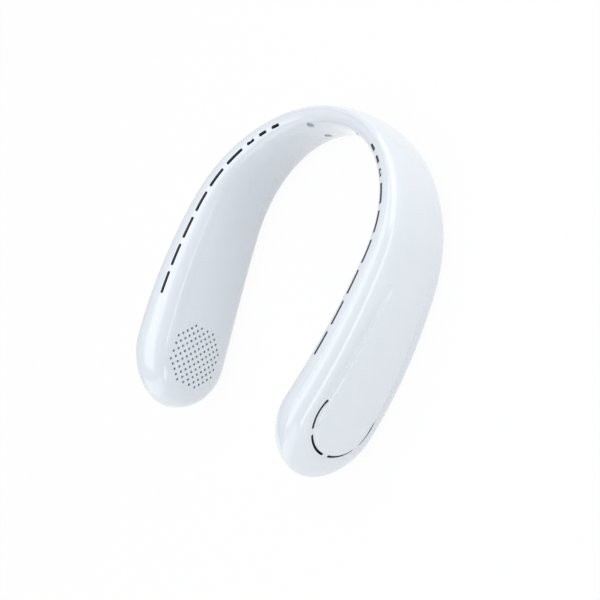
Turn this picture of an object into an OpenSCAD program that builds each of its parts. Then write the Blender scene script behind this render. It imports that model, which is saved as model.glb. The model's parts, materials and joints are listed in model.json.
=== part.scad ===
// Electric neck fan: a rigid U-shaped housing that blows air from slots along its inner top edge.
// Millimetres, +Z up. The back of the neck is at +Y and the arms open towards -Y.
// The origin is the middle of the base of the bounding box, on the surface the fan stands on.
// A station is a distance along the centre path from the middle of the back, negative on the left.

/* [Path] */
// Radius of the bend behind the neck
bend_radius = 78; // [75:0.5:82]
// Angle that the bend turns on each side
bend_angle = 80; // [77:0.5:82]
// Radius of the easing curve between the bend and the arm
ease_radius = 98; // [85:1:120]
// Angle of the easing curve
ease_angle = 8; // [6:0.5:10]
// Radius of the arm's own slight inward curve
arm_radius = 329; // [310:1:360]
// Angle that the arm turns
arm_angle = 20.5; // [19.5:0.5:21.5]
// Height of the path above its level at the arm's end, at the back
back_rise = 17.8; // [16:0.2:20]
// Height of the path at the shoulder control point
shoulder_rise = 7.1; // [5:0.1:9]
// Height of the path at the cheek control point
cheek_rise = 1.8; // [0:0.1:3]

/* [Housing section] */
// Height of the housing behind the neck
back_height = 33.4; // [32:0.2:36]
// Height at the shoulder control point
shoulder_height = 60.6; // [58:0.2:64]
// Height at the cheek control point
cheek_height = 67.4; // [65:0.2:70]
// Height of the housing towards the arm's end, before it rounds off
end_height = 62.4; // [61:0.2:66]
// Depth from the path to the neck side, behind the neck
back_inner_depth = 8; // [7.6:0.1:9]
// Depth to the neck side at the shoulder control point
shoulder_inner_depth = 14.5; // [14:0.1:16]
// Depth to the neck side at the cheek control point
cheek_inner_depth = 18.9; // [18.4:0.1:20]
// Depth to the neck side towards the arm's end
end_inner_depth = 18.9; // [18.4:0.1:20]
// Depth from the path to the outer side, behind the neck
back_outer_depth = 5.6; // [5.4:0.1:6.5]
// Depth to the outer side at the shoulder control point
shoulder_outer_depth = 9; // [8.8:0.1:10]
// Depth to the outer side at the cheek control point
cheek_outer_depth = 8.1; // [8:0.1:9]
// Depth to the outer side towards the arm's end
end_outer_depth = 9.1; // [9:0.1:10]
// Lean of the section behind the neck
back_lean = 10; // [8:0.5:12]
// Lean of the section at the shoulder control point
shoulder_lean = -4.2; // [-6:0.2:-2]
// Lean of the section at the cheek control point
cheek_lean = -1.9; // [-3:0.1:0]
// Length over which the arm's end rounds off
cap_len = 35; // [34:0.5:37]

/* [Walls and seams] */
// Wall of both housing shells
wall = 2.2; // [2:0.1:2.4]
// Gap of the parting line between the shells
seam = 0.1; // [0.04:0.02:0.2]
// Clearance between inner pieces and the walls they seat against
seat_gap = 0.25; // [0.15:0.05:0.3]
// Depth of the flats that the arms stand on
foot_depth = 0.4; // [0.3:0.05:0.6]
// Forward pitch that brings the arms' lower edges down onto the table
rest_pitch = 9.8; // [8:0.1:11]

/* [Outlet slots] */
// Number of long slots on each arm
long_slots = 6; // [4:1:6]
// Number of short slots on each arm, towards the back
short_slots = 3; // [0:1:3]
// Length of a long slot
long_slot_len = 14.2; // [10:0.2:15]
// Length of a short slot
short_slot_len = 6; // [4:0.5:7]
// Width of every slot
slot_width = 1.8; // [1.2:0.1:2.2]
// Distance from one long slot to the next
long_slot_pitch = 18.1; // [16.5:0.1:18.5]
// Distance from one short slot to the next
short_slot_pitch = 10.3; // [8.5:0.1:11]
// Distance from the arm's tip to the end of the first long slot
slot_setback = 59.9; // [57:0.1:62]
// Angle of the slots round the section, past the top edge towards the neck
slot_lean = 13.5; // [10:0.5:20]

/* [Inlet grille] */
// Distance from the arm's tip to the middle of the grille
grille_setback = 31.5; // [31:0.5:33]
// Radius of the grille insert
grille_radius = 20.4; // [20:0.1:21]
// Distance between neighbouring holes, on a square grid set on its corner
grille_pitch = 3.42; // [3.3:0.02:3.46]
// Diameter of a hole
grille_hole_dia = 1.6; // [1.2:0.1:2]
// Rows of holes each side of the middle one
grille_rows = 7; // [4:1:7]
// Running gap round the grille insert
grille_gap = 0.1; // [0.05:0.05:0.2]

/* [Outer relief] */
// Distance from the arm's tip to the centre of the relief's round end
relief_setback = 38.2; // [37:0.2:40]
// Radius of the relief's groove at its round end
relief_radius = 20.8; // [20:0.1:21.4]
// Half width of the groove's outline where it fades out
relief_tail_half = 17; // [15:0.5:18]
// Length of the relief behind its round end
relief_len = 60; // [50:1:70]
// Depth of the groove at the round end
relief_depth = 1.2; // [0.8:0.1:1.3]
// Width of the groove's steep side, next to the raised tongue
relief_steep = 2; // [1.4:0.1:2.6]
// Width of the groove's gentle side
relief_slope = 4.4; // [3.6:0.1:5]
// Height of the relief's middle line, below the path
relief_drop = 1.8; // [1:0.1:2.4]
// Angle that each inlet slot spans
inlet_span = 44; // [30:1:48]
// Angle from one inlet slot to the next
inlet_pitch = 57.5; // [54:0.5:60]
// Width of an inlet slot
inlet_width = 1.2; // [0.8:0.1:1.6]

/* [Blower] */
// Distance from the arm's tip to the blower's axis
fan_setback = 35; // [34.5:0.5:36]
// Depth of the blower's back face outside the path
fan_back = 2.5; // [2.2:0.1:2.8]
// Overall thickness of the blower housing
fan_depth = 14; // [13.6:0.1:14.2]
// Radius of the impeller
impeller_radius = 18; // [17:0.1:18.2]
// Inner radius of the blade ring
blade_inner_radius = 14; // [13:0.1:14.6]
// Number of blades
blade_count = 31; // [17:2:35]
// Thickness of a blade
blade_thick = 0.7; // [0.6:0.05:0.9]
// Gap between the impeller and the blower housing at each end
impeller_end_gap = 0.6; // [0.5:0.05:0.8]
// Radius of the scroll at its cut-off
scroll_start_radius = 19.4; // [19.2:0.1:19.8]
// Radius of the scroll at its outlet
scroll_end_radius = 23; // [22:0.1:23.3]
// Wall of the scroll, its base and its lid
scroll_wall = 1.2; // [1:0.1:1.4]
// Length of the outlet behind the blower's axis
outlet_len = 24; // [23:0.5:25]
// Height of the outlet's floor above the blower's axis
outlet_floor = 13; // [12.5:0.1:13.5]
// Drop of the blower's axis below the path
fan_drop = 0.7; // [0.4:0.1:1]

/* [Motor] */
// Radius of the shaft
shaft_radius = 0.75; // [0.6:0.05:0.9]
// Running clearance between the shaft and its bearing
shaft_clearance = 0.03; // [0.02:0.01:0.06]
// Outer radius of the sleeve bearing
bearing_radius = 2.2; // [2:0.1:2.4]
// Length of the sleeve bearing
bearing_len = 7; // [6:0.2:7.4]
// Outer radius of the boss that holds the bearing
boss_radius = 3.2; // [3:0.1:3.4]
// Outer radius of the stator
stator_radius = 7.5; // [7:0.1:7.6]
// Number of stator poles
pole_count = 6; // [6:3:9]
// Air gap between the stator and the magnet
air_gap = 0.4; // [0.3:0.05:0.6]
// Thickness of the magnet ring
magnet_thick = 1; // [0.8:0.1:1.2]
// Wall of the steel rotor cup
cup_wall = 0.6; // [0.5:0.05:0.8]
// Wall of the impeller's hub
hub_wall = 1; // [0.8:0.1:1.2]

/* [Duct and cells] */
// Thickness of the duct floor
divider_thick = 1.2; // [1:0.1:1.5]
// Station where the duct floor starts
divider_start = 40; // [36:1:46]
// Length of a battery cell
cell_len = 50; // [40:1:52]
// Height of a battery cell
cell_height = 24; // [20:1:25]
// Thickness of a battery cell
cell_thick = 7; // [6:0.5:7.5]
// Distance from the arm's tip to the middle of a cell
cell_setback = 97.3; // [95:0.1:100]
// Length of a foam pad between a cell and the shell
pad_len = 30; // [20:1:34]
// Height of a foam pad
pad_height = 12; // [8:1:14]
// Diameter of the wire harness through the band
harness_dia = 1.8; // [1.4:0.1:2.2]

/* [Controls] */
// Distance from the left arm's tip to the power button, on the outer face
button_setback = 78.3; // [76:0.1:82]
// Radius of the button's cap
button_radius = 5; // [4:0.1:5.5]
// Sliding gap round the button
button_gap = 0.1; // [0.06:0.02:0.2]
// Distance that the button travels
button_travel = 0.5; // [0.3:0.05:0.6]
// How far the button's face stands out of the shell
button_proud = 0.5; // [0.4:0.05:0.8]
// Length of the main board
board_len = 44; // [40:1:46]
// Height of the main board
board_height = 26; // [24:0.5:27]
// Thickness of the main board
board_thick = 1; // [0.8:0.1:1.2]
// Distance from the left arm's tip to the middle of the board
board_setback = 92.3; // [91:0.1:94]
// Body size of the tact switch
switch_size = 6; // [5:0.1:6.5]
// Height of the tact switch's body
switch_height = 3.1; // [2.5:0.1:3.3]
// Width of the charging socket's shell
socket_width = 8.9; // [8.7:0.1:9.1]
// Thickness of the charging socket's shell
socket_thick = 3.2; // [3:0.1:3.4]
// Length of the charging socket's shell
socket_len = 7.3; // [6.8:0.1:7.6]
// Number of indicator lights
light_count = 4; // [3:1:4]
// Distance between the lights
light_pitch = 3.2; // [2.8:0.1:3.6]
// Radius of a light's window
light_radius = 0.6; // [0.5:0.05:0.8]

/* [Fasteners] */
// Distance of the band screws from the middle of the back
band_screw_station = 23.4; // [21:0.2:25]
// Height of the upper band screws above the path
band_screw_high = 11.6; // [11:0.1:11.8]
// Drop of the lower band screws below the path
band_screw_low = 4.4; // [3.6:0.1:5.4]
// Radius of a screw plug
plug_radius = 2.2; // [2:0.1:2.4]
// Radius of a band screw's thread
screw_radius = 0.9; // [0.7:0.05:1]
// Radius of a band screw's head
screw_head_radius = 1.7; // [1.5:0.1:1.8]
// Height of a screw's head
screw_head_height = 1; // [0.8:0.1:1.2]
// Radius of a small screw's thread
small_screw_radius = 0.7; // [0.6:0.05:0.8]
// Radius of a small screw's head
small_head_radius = 1.5; // [1.3:0.1:1.6]

/* [Hidden] */

// Overrun of every cut past the face that it opens
over = 0.5;
// Exponents of the section's rounding: height, neck side, outer side
height_power = 2.44;
inner_power = 3.3;
outer_power = 2.1;
// Exponents of the arm end's rounding: height and depth
cap_height_power = 2.02;
cap_depth_power = 2.35;
// Steps of the shell's mesh along the bend, along the arm, round the arm's end and round a section
bend_steps = 11;
arm_steps = 12;
cap_steps = 8;
ring_steps = 16;
// Steps of a turned outline
turn_steps = 48;
$fn = turn_steps;

white = [0.93, 0.94, 0.96];
dark_grey = [0.2, 0.21, 0.23];
steel = [0.66, 0.67, 0.69];
copper = [0.72, 0.42, 0.2];
cell_blue = [0.3, 0.42, 0.6];
board_green = [0.1, 0.36, 0.22];

// Centre path: three arcs a side that meet tangentially.
radian = 180 / PI;
bend_len = bend_radius * bend_angle / radian;
ease_len = ease_radius * ease_angle / radian;
arm_len = arm_radius * arm_angle / radian;
half_len = bend_len + ease_len + arm_len;
arm_start_angle = bend_angle + ease_angle;
cap_start = half_len - cap_len;

function heading(c) =
    c <= bend_len ? c / bend_radius * radian
    : c <= bend_len + ease_len ? bend_angle + (c - bend_len) / ease_radius * radian
    : arm_start_angle + (c - bend_len - ease_len) / arm_radius * radian;

function arc_end(start, radius, from, to) =
    start + radius * [sin(to) - sin(from), cos(to) - cos(from)];

bend_end = arc_end([0, 0], bend_radius, 0, bend_angle);
ease_end = arc_end(bend_end, ease_radius, bend_angle, arm_start_angle);

function path_point(c) =
    c <= bend_len ? arc_end([0, 0], bend_radius, 0, heading(c))
    : c <= bend_len + ease_len ? arc_end(bend_end, ease_radius, bend_angle, heading(c))
    : arc_end(ease_end, arm_radius, arm_start_angle, heading(c));

// A quartic curve through its first and last values, level at the middle of the back.
function along(back, shoulder, cheek, end, c) =
    let (t = c / half_len, u = 1 - t)
    back * (u ^ 4 + 4 * u ^ 3 * t) + 6 * shoulder * u ^ 2 * t ^ 2 + 4 * cheek * u * t ^ 3 + end * t ^ 4;

function rise(c) = along(back_rise, shoulder_rise, cheek_rise, 0, c);
function half_height(c) = along(back_height, shoulder_height, cheek_height, end_height, c) / 2;
function inner_depth(c) =
    along(back_inner_depth, shoulder_inner_depth, cheek_inner_depth, end_inner_depth, c);
function outer_depth(c) =
    along(back_outer_depth, shoulder_outer_depth, cheek_outer_depth, end_outer_depth, c);
function lean(c) = along(back_lean, shoulder_lean, cheek_lean, 0, c);
function depth(c, face) = face > 0 ? outer_depth(c) : inner_depth(c);
function depth_power(face) = face > 0 ? outer_power : inner_power;

// A point of the section at a signed station: n runs outwards, z runs up.
function section_point(s, n, z) =
    let (c = abs(s), p = path_point(c), a = heading(c), k = lean(c))
    let (out = n * cos(k) - z * sin(k), up = n * sin(k) + z * cos(k))
    [(s < 0 ? -1 : 1) * (p[0] + sin(a) * out), p[1] + cos(a) * out, rise(c) + up];

// The arm's end shrinks the section to a point over cap_len.
function cap_share(c, power) = (1 - max(0, (c - cap_start) / cap_len) ^ power) ^ (1 / power);
function skin_station(c, inset) =
    c <= cap_start ? c : cap_start + (c - cap_start) * (cap_len - inset) / cap_len;

// A point of the skin: face is 1 outside and -1 on the neck side, angle runs from -90 to 90.
function skin_point(s, angle, face, inset) =
    let (c = abs(s), reach = (depth(c, face) - inset) * cap_share(c, cap_depth_power) - seam / 2)
    let (z = (half_height(c) - inset) * cap_share(c, cap_height_power))
    section_point(
        sign(s) * skin_station(c, inset),
        face * (seam / 2 + max(0, reach) * abs(cos(angle)) ^ (2 / depth_power(face))),
        z * sign(angle) * abs(sin(angle)) ^ (2 / height_power)
    );

// Distance from the path to the skin at a height z of the section, before the arm's end.
function skin_reach(c, z, face, inset) =
    let (u = max(0, (c - cap_start) / (cap_len - inset)))
    let (h = (half_height(c) - inset) * (1 - u ^ cap_height_power) ^ (1 / cap_height_power))
    let (d = (depth(c, face) - inset) * (1 - u ^ cap_depth_power) ^ (1 / cap_depth_power))
    d * max(0, 1 - (abs(z) / h) ^ height_power) ^ (1 / depth_power(face));

side_stations = concat(
    [for (i = [1 : bend_steps]) bend_len * i / bend_steps],
    [for (i = [1 : arm_steps]) bend_len + (cap_start - bend_len) * i / arm_steps],
    [for (i = [1 : cap_steps - 1]) cap_start + cap_len * sin(90 * i / cap_steps)]
);
side_count = len(side_stations);
stations = concat([for (i = [side_count - 1 : -1 : 0]) -side_stations[i]], [0], side_stations);
ring_angles = [for (j = [0 : ring_steps]) 180 * j / ring_steps - 90];

// The pose on the table: pitched forward, standing on the flats of the arms.
function pitched(p) =
    [p[0], p[1] * cos(rest_pitch) + p[2] * sin(rest_pitch), p[2] * cos(rest_pitch) - p[1] * sin(rest_pitch)];
skin_cloud = [
    for (s = concat([0], side_stations))
        for (a = ring_angles)
            for (face = [-1, 1])
                pitched(skin_point(s, a, face, 0))
];
tip_cloud = pitched(section_point(half_len, seam / 2, 0));
low_z = min([for (p = skin_cloud) p[2]]);
low_y = min(tip_cloud[1], min([for (p = skin_cloud) p[1]]));
high_y = max([for (p = skin_cloud) p[1]]);
high_x = max([for (p = skin_cloud) p[0]]);

module stand() {
    translate([0, -(low_y + high_y) / 2, -low_z - foot_depth])
        rotate([-rest_pitch, 0, 0])
            children();
}

// Local frame of a station on the right arm: X to the tip, Y outwards, Z up.
module at_station(c) {
    p = path_point(c);
    translate([p[0], p[1], rise(c)])
        rotate([0, 0, -heading(c)])
            rotate([lean(c), 0, 0])
                children();
}

module right_arm() {
    stand() children();
}

module left_arm() {
    stand() mirror([1, 0, 0]) children();
}

module both_arms() {
    left_arm() children();
    right_arm() children();
}

// Frame of the blower: X to the tip, Y up, Z towards the neck, zero on its back face.
fan_station = half_len - fan_setback;
module at_fan() {
    at_station(fan_station)
        translate([0, fan_back, -fan_drop])
            rotate([90, 0, 0])
                children();
}

module ring(outer, inner, height) {
    linear_extrude(height = height)
        difference() {
            circle(r = outer);
            circle(r = inner);
        }
}

// Triangles of a grid of points with rows of `width` points, flipped to face the other way.
function quad(a, b, c, d, flip) = flip ? [[a, c, b], [a, d, c]] : [[a, b, c], [a, c, d]];
function grid_faces(rows, width, first, flip) = [
    for (i = [0 : rows - 2])
        for (j = [0 : width - 2])
            let (a = first + i * width + j)
            each quad(a, a + width, a + width + 1, a + 1, flip)
];

// One half of the housing: a skin and its inset copy, joined along the parting line and at the tips.
module shell_half(face) {
    rows = len(stations);
    width = ring_steps + 1;
    inner = rows * width;
    pole = 2 * inner;
    flip = face < 0;
    points = concat(
        [for (s = stations) for (a = ring_angles) skin_point(s, a, face, 0)],
        [for (s = stations) for (a = ring_angles) skin_point(s, a, face, wall)],
        [for (side = [-1, 1]) for (inset = [0, wall])
            section_point(side * skin_station(half_len, inset), face * seam / 2, 0)]
    );
    last = (rows - 1) * width;
    faces = concat(
        grid_faces(rows, width, 0, flip),
        grid_faces(rows, width, inner, !flip),
        [for (i = [0 : rows - 2])
            let (a = i * width)
            each quad(a, inner + a, inner + a + width, a + width, flip)],
        [for (i = [0 : rows - 2])
            let (a = i * width + ring_steps)
            each quad(a, a + width, inner + a + width, inner + a, flip)],
        [for (j = [0 : ring_steps - 1]) each [
            flip ? [pole, j + 1, j] : [pole, j, j + 1],
            flip ? [pole + 1, inner + j, inner + j + 1] : [pole + 1, inner + j + 1, inner + j],
            flip ? [last + j, last + j + 1, pole + 2] : [last + j, pole + 2, last + j + 1],
            flip ? [inner + last + j, pole + 3, inner + last + j + 1]
                : [inner + last + j, inner + last + j + 1, pole + 3]
        ]],
        quad(pole, pole + 1, inner, 0, flip),
        quad(pole, ring_steps, inner + ring_steps, pole + 1, flip),
        quad(last, inner + last, pole + 3, pole + 2, flip),
        quad(last + ring_steps, pole + 2, pole + 3, inner + last + ring_steps, flip)
    );
    polyhedron(points = points, faces = faces, convexity = 8);
}

// Everything below the table's surface, to cut the flats that the arms stand on.
module below_table() {
    translate([-high_x, -(high_y - low_y) / 2, -end_height])
        cube([2 * high_x, high_y - low_y, end_height]);
}

// Outlet slots: one run of long slots and one of short ones, along the inner top edge.
long_ends = [for (i = [0 : long_slots - 1]) half_len - slot_setback - i * long_slot_pitch];
short_first = half_len - slot_setback - (long_slots - 1) * long_slot_pitch - long_slot_len
    - (short_slot_pitch - short_slot_len);
short_ends = [for (i = [0 : short_slots - 1]) short_first - i * short_slot_pitch];

module slot_cut(end, length) {
    c = end - length / 2;
    angle = 90 - slot_lean;
    n = -inner_depth(c) * cos(angle) ^ (2 / inner_power);
    z = half_height(c) * sin(angle) ^ (2 / height_power);
    // Direction of the cut, square to the skin
    steep = atan2(
        height_power * (z / half_height(c)) ^ (height_power - 1) / half_height(c),
        inner_power * (-n / inner_depth(c)) ^ (inner_power - 1) / inner_depth(c)
    );
    at_station(c)
        translate([0, n, z])
            rotate([90 - steep, 0, 0])
                translate([0, 0, -2 * wall])
                    linear_extrude(height = 4 * wall)
                        union() {
                            square([length - slot_width, slot_width], center = true);
                            for (side = [-1, 1])
                                translate([side * (length - slot_width) / 2, 0])
                                    circle(d = slot_width);
                        }
}

module outlet_cuts() {
    for (end = long_ends)
        slot_cut(end, long_slot_len);
    for (end = short_ends)
        slot_cut(end, short_slot_len);
}

// Inlet grille: a round insert cut from the inner skin, with an eight-sided field of holes.
grille_station = half_len - grille_setback;
module at_grille() {
    at_station(grille_station) rotate([90, 0, 0]) children();
}

module grille_window(gap) {
    at_grille() cylinder(r = grille_radius + gap, h = inner_depth(grille_station) + wall);
}

grille_row = grille_pitch / sqrt(2);
grille_corner_rows = grille_rows + 3;
grille_holes = [
    for (i = [-grille_rows : grille_rows])
        for (j = [-grille_rows : grille_rows])
            if ((i + j) % 2 == 0 && abs(i) + abs(j) <= grille_corner_rows)
                [i * grille_row, j * grille_row]
];

// The stretch of the skin that the grille is cut from, closed on all sides.
module grille_skin() {
    rows = [for (s = side_stations) if (s > grille_station - grille_radius - cap_len / 2) s];
    width = ring_steps + 1;
    inner = len(rows) * width;
    polyhedron(
        points = concat(
            [for (s = rows) for (a = ring_angles) skin_point(s, a, -1, 0)],
            [for (s = rows) for (a = ring_angles) skin_point(s, a, -1, wall)]
        ),
        faces = concat(
            grid_faces(len(rows), width, 0, true),
            grid_faces(len(rows), width, inner, false),
            [for (i = [0 : len(rows) - 2])
                let (a = i * width)
                each quad(a, inner + a, inner + a + width, a + width, true)],
            [for (i = [0 : len(rows) - 2])
                let (a = i * width + ring_steps)
                each quad(a, a + width, inner + a + width, inner + a, true)],
            [for (j = [0 : ring_steps - 1])
                each quad(j, j + 1, inner + j + 1, inner + j, true)],
            [for (j = [0 : ring_steps - 1])
                let (a = inner - width + j)
                each quad(a, inner + a, inner + a + 1, a + 1, true)]
        ),
        convexity = 6
    );
}

module grille() {
    color(white)
        difference() {
            intersection() {
                grille_skin();
                grille_window(-grille_gap);
            }
            at_grille()
                for (place = grille_holes)
                    translate(place)
                        cylinder(d = grille_hole_dia, h = inner_depth(grille_station) + wall, $fn = 16);
        }
}

// Relief of the outer face: a groove round the end of a raised tongue, fading out towards the back.
relief_station = half_len - relief_setback;
relief_lift = 0.4;
relief_tail_steps = 9;
relief_turn_steps = 16;

// Half width of the outline and share of the depth, at a distance behind the round end.
function relief_half(back) = relief_radius - (relief_radius - relief_tail_half) * (back / relief_len) ^ 2;
function relief_share(back) = sqrt(1 - (back / relief_len) ^ 2);

// Places along the outline: along the arm, up, the two parts of the outward direction, depth share.
relief_tail = [for (i = [0 : relief_tail_steps - 1]) relief_len * (1 - i / relief_tail_steps)];
relief_places = concat(
    [for (back = relief_tail) [-back, -relief_half(back), 0, -1, relief_share(back)]],
    [for (i = [0 : relief_turn_steps])
        let (a = 180 * i / relief_turn_steps - 90)
        [relief_radius * cos(a), relief_radius * sin(a), cos(a), sin(a), 1]],
    [for (i = [relief_tail_steps - 1 : -1 : 0])
        let (back = relief_tail[i])
        [-back, relief_half(back), 0, 1, relief_share(back)]]
);

function relief_point(place, across, level) =
    let (c = relief_station + place[0] + place[2] * across)
    let (z = place[1] + place[3] * across - relief_drop)
    section_point(c, skin_reach(c, z, 1, 0) + level, z);

module relief_cut() {
    rings = len(relief_places);
    points = [
        for (place = relief_places)
            let (bottom = relief_lift / 4 - (relief_depth + relief_lift / 4) * place[4])
            each [
                relief_point(place, -relief_steep, relief_lift),
                relief_point(place, 0, bottom),
                relief_point(place, relief_slope, relief_lift)
            ]
    ];
    last = 3 * (rings - 1);
    polyhedron(
        points = points,
        faces = concat(
            [for (i = [0 : rings - 2]) for (j = [0 : 2])
                let (a = 3 * i + j, b = 3 * i + (j + 1) % 3)
                each quad(a, b, b + 3, a + 3, true)],
            [[0, 1, 2], [last, last + 2, last + 1]]
        ),
        convexity = 6
    );
}

module at_relief() {
    at_station(relief_station)
        translate([0, 0, -relief_drop])
            rotate([-90, 0, 0])
                children();
}

// Inlet slots: four arcs at the bottom of the groove, with bridges between them.
module inlet_cuts() {
    at_relief()
        for (k = [-1.5 : 1 : 1.5])
            rotate([0, 0, k * inlet_pitch])
                translate([0, 0, end_outer_depth - 3 * wall]) {
                    rotate([0, 0, -inlet_span / 2])
                        rotate_extrude(angle = inlet_span)
                            translate([relief_radius - inlet_width / 2, 0])
                                square([inlet_width, 4 * wall]);
                    for (side = [-1, 1])
                        rotate([0, 0, side * inlet_span / 2])
                            translate([relief_radius, 0, 0])
                                cylinder(d = inlet_width, h = 4 * wall, $fn = 16);
                }
}

// Blower: a scroll that opens into the duct, round a double-inlet impeller.
cut_off_angle = 135;
outlet_angle = 450;
scroll_step = 9;
lid_z = fan_depth - scroll_wall;
function scroll_radius(a) =
    scroll_start_radius
    + (scroll_end_radius - scroll_start_radius) * (a - cut_off_angle) / (outlet_angle - cut_off_angle);

// Outline of the scroll, grown by `grow` and with its outlet lengthened by `reach`.
module scroll_outline(grow, reach) {
    polygon(concat(
        [for (a = [cut_off_angle : scroll_step : outlet_angle])
            (scroll_radius(a) + grow) * [cos(a), sin(a)]],
        [[-outlet_len - reach, scroll_end_radius + grow], [-outlet_len - reach, outlet_floor - grow]]
    ));
}

// Ears of the scroll: two below it and one under its outlet.
ear_radius = small_head_radius + small_screw_radius;
function ear_place(a) =
    (scroll_radius(a) + scroll_wall + small_head_radius + seat_gap) * [cos(a), sin(a)];
ear_places = [
    ear_place(cut_off_angle + 90),
    ear_place(cut_off_angle + 180),
    [ear_radius - outlet_len, outlet_floor - ear_radius]
];

// Length of a post from the blower's back face out into the shell's wall.
function fan_post_len(place) =
    skin_reach(fan_station + place[0], place[1] - fan_drop, 1, 2 * wall / 3)
    - place[0] ^ 2 / (2 * arm_radius) - fan_back;

motor_radius = stator_radius + air_gap + magnet_thick + cup_wall + hub_wall;
press_gap = 0.02;
window_gap = 0.5;
spoke_width = 2.4;
scroll_spokes = 3;

module scroll() {
    color(dark_grey)
        at_fan() {
            difference() {
                union() {
                    linear_extrude(height = scroll_wall)
                        scroll_outline(scroll_wall, 0);
                    for (place = ear_places)
                        translate(place)
                            cylinder(r = ear_radius, h = scroll_wall);
                }
                for (place = ear_places)
                    translate([place[0], place[1], -over])
                        cylinder(r = small_screw_radius + press_gap, h = scroll_wall + 2 * over);
                translate([0, 0, -over])
                    linear_extrude(height = scroll_wall + 2 * over)
                        difference() {
                            circle(r = blade_inner_radius + window_gap);
                            circle(r = motor_radius);
                            for (i = [0 : scroll_spokes - 1])
                                rotate(i * 360 / scroll_spokes)
                                    translate([0, -spoke_width / 2])
                                        square([impeller_radius, spoke_width]);
                        }
            }
            translate([0, 0, scroll_wall])
                linear_extrude(height = lid_z - scroll_wall)
                    difference() {
                        scroll_outline(scroll_wall, 0);
                        scroll_outline(0, over);
                    }
            translate([0, 0, scroll_wall])
                ring(boss_radius, bearing_radius + press_gap, bearing_len);
        }
}

module scroll_lid() {
    color(dark_grey)
        at_fan()
            translate([0, 0, lid_z])
                linear_extrude(height = scroll_wall)
                    difference() {
                        scroll_outline(scroll_wall, 0);
                        circle(r = blade_inner_radius + window_gap);
                    }
}

// Motor: a sleeve bearing and stator on the boss, and a cup with its magnet round them.
bearing_top = scroll_wall + bearing_len;
cup_top = bearing_top + air_gap + cup_wall;
coil_height = bearing_len - 2 * air_gap;
core_height = coil_height - 2 * air_gap;
core_z = scroll_wall + 3 * air_gap;
pole_width = stator_radius / 5;
pole_hub = boss_radius + pole_width;
shoe_angle = 42;
impeller_z = scroll_wall + impeller_end_gap;
impeller_height = lid_z - impeller_end_gap - impeller_z;
magnet_radius = stator_radius + air_gap + magnet_thick;
cup_radius = magnet_radius + press_gap + cup_wall;

module bearing() {
    color(copper)
        at_fan()
            translate([0, 0, scroll_wall])
                ring(bearing_radius, shaft_radius + shaft_clearance, bearing_len);
}

module stator_core() {
    color(steel)
        at_fan()
            translate([0, 0, core_z])
                linear_extrude(height = core_height)
                    difference() {
                        union() {
                            circle(r = pole_hub);
                            for (i = [0 : pole_count - 1])
                                rotate(i * 360 / pole_count) {
                                    translate([0, -pole_width / 2])
                                        square([stator_radius - pole_width / 2, pole_width]);
                                    intersection() {
                                        difference() {
                                            circle(r = stator_radius);
                                            circle(r = stator_radius - pole_width / 2);
                                        }
                                        polygon(2 * stator_radius * [
                                            [0, 0],
                                            [cos(shoe_angle / 2), -sin(shoe_angle / 2)],
                                            [cos(shoe_angle / 2), sin(shoe_angle / 2)]
                                        ]);
                                    }
                                }
                        }
                        circle(r = boss_radius + press_gap);
                    }
}

// One coil round each pole, clear of the core's hub and shoes.
module coils() {
    inner_x = pole_hub + press_gap;
    outer_x = sqrt((stator_radius - pole_width / 2) ^ 2 - pole_width ^ 2) - 2 * press_gap;
    color(copper)
        at_fan()
            for (i = [0 : pole_count - 1])
                rotate([0, 0, i * 360 / pole_count])
                    difference() {
                        translate([inner_x, -pole_width, core_z - air_gap])
                            cube([outer_x - inner_x, 2 * pole_width, core_height + 2 * air_gap]);
                        translate([inner_x - over, -pole_width / 2 - press_gap, core_z - press_gap])
                            cube([
                                outer_x - inner_x + 2 * over,
                                pole_width + 2 * press_gap,
                                core_height + 2 * press_gap
                            ]);
                    }
}

module rotor_magnet() {
    color(dark_grey)
        at_fan()
            translate([0, 0, core_z - air_gap])
                ring(magnet_radius, stator_radius + air_gap, core_height + 2 * air_gap);
}

module rotor_cup() {
    color(steel)
        at_fan() {
            translate([0, 0, impeller_z])
                ring(cup_radius, magnet_radius + press_gap, cup_top - impeller_z);
            translate([0, 0, cup_top - cup_wall])
                ring(magnet_radius + press_gap, shaft_radius + press_gap, cup_wall);
        }
}

module shaft() {
    color(steel)
        at_fan()
            translate([0, 0, scroll_wall + press_gap])
                cylinder(r = shaft_radius, h = cup_top + hub_wall - scroll_wall - press_gap);
}

// A blade is swept forward along a parabola, from the ring's inner radius to its rim.
blade_sweep = 16;
blade_points = 4;
blade_lean_share = 0.5;
function blade_place(share, side) =
    let (r = blade_inner_radius + (impeller_radius - rim_width / 4 - blade_inner_radius) * share)
    let (a = blade_sweep * share ^ 2 + side * blade_thick * blade_lean_share / r * radian)
    r * [cos(a), sin(a)];

module blade_outline() {
    polygon(concat(
        [for (i = [0 : blade_points]) blade_place(i / blade_points, -1)],
        [for (i = [blade_points : -1 : 0]) blade_place(i / blade_points, 1)]
    ));
}

rim_width = (impeller_radius - blade_inner_radius) / 3;
rim_height = blade_thick;
module impeller() {
    hub_radius = cup_radius + press_gap + hub_wall;
    color(white)
        at_fan() {
            translate([0, 0, impeller_z + rim_height / 2])
                linear_extrude(height = impeller_height - rim_height)
                    for (i = [0 : blade_count - 1])
                        rotate(i * 360 / blade_count)
                            blade_outline();
            for (z = [impeller_z, impeller_z + impeller_height - rim_height])
                translate([0, 0, z])
                    ring(impeller_radius, impeller_radius - rim_width, rim_height);
            translate([0, 0, impeller_z + (impeller_height - hub_wall) / 2])
                ring(blade_inner_radius + rim_width, hub_radius - hub_wall / 2, hub_wall);
            translate([0, 0, impeller_z])
                ring(hub_radius, cup_radius + press_gap, cup_top + press_gap - impeller_z);
            translate([0, 0, cup_top + press_gap])
                ring(hub_radius, shaft_radius + press_gap, hub_wall - press_gap);
        }
}

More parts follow.
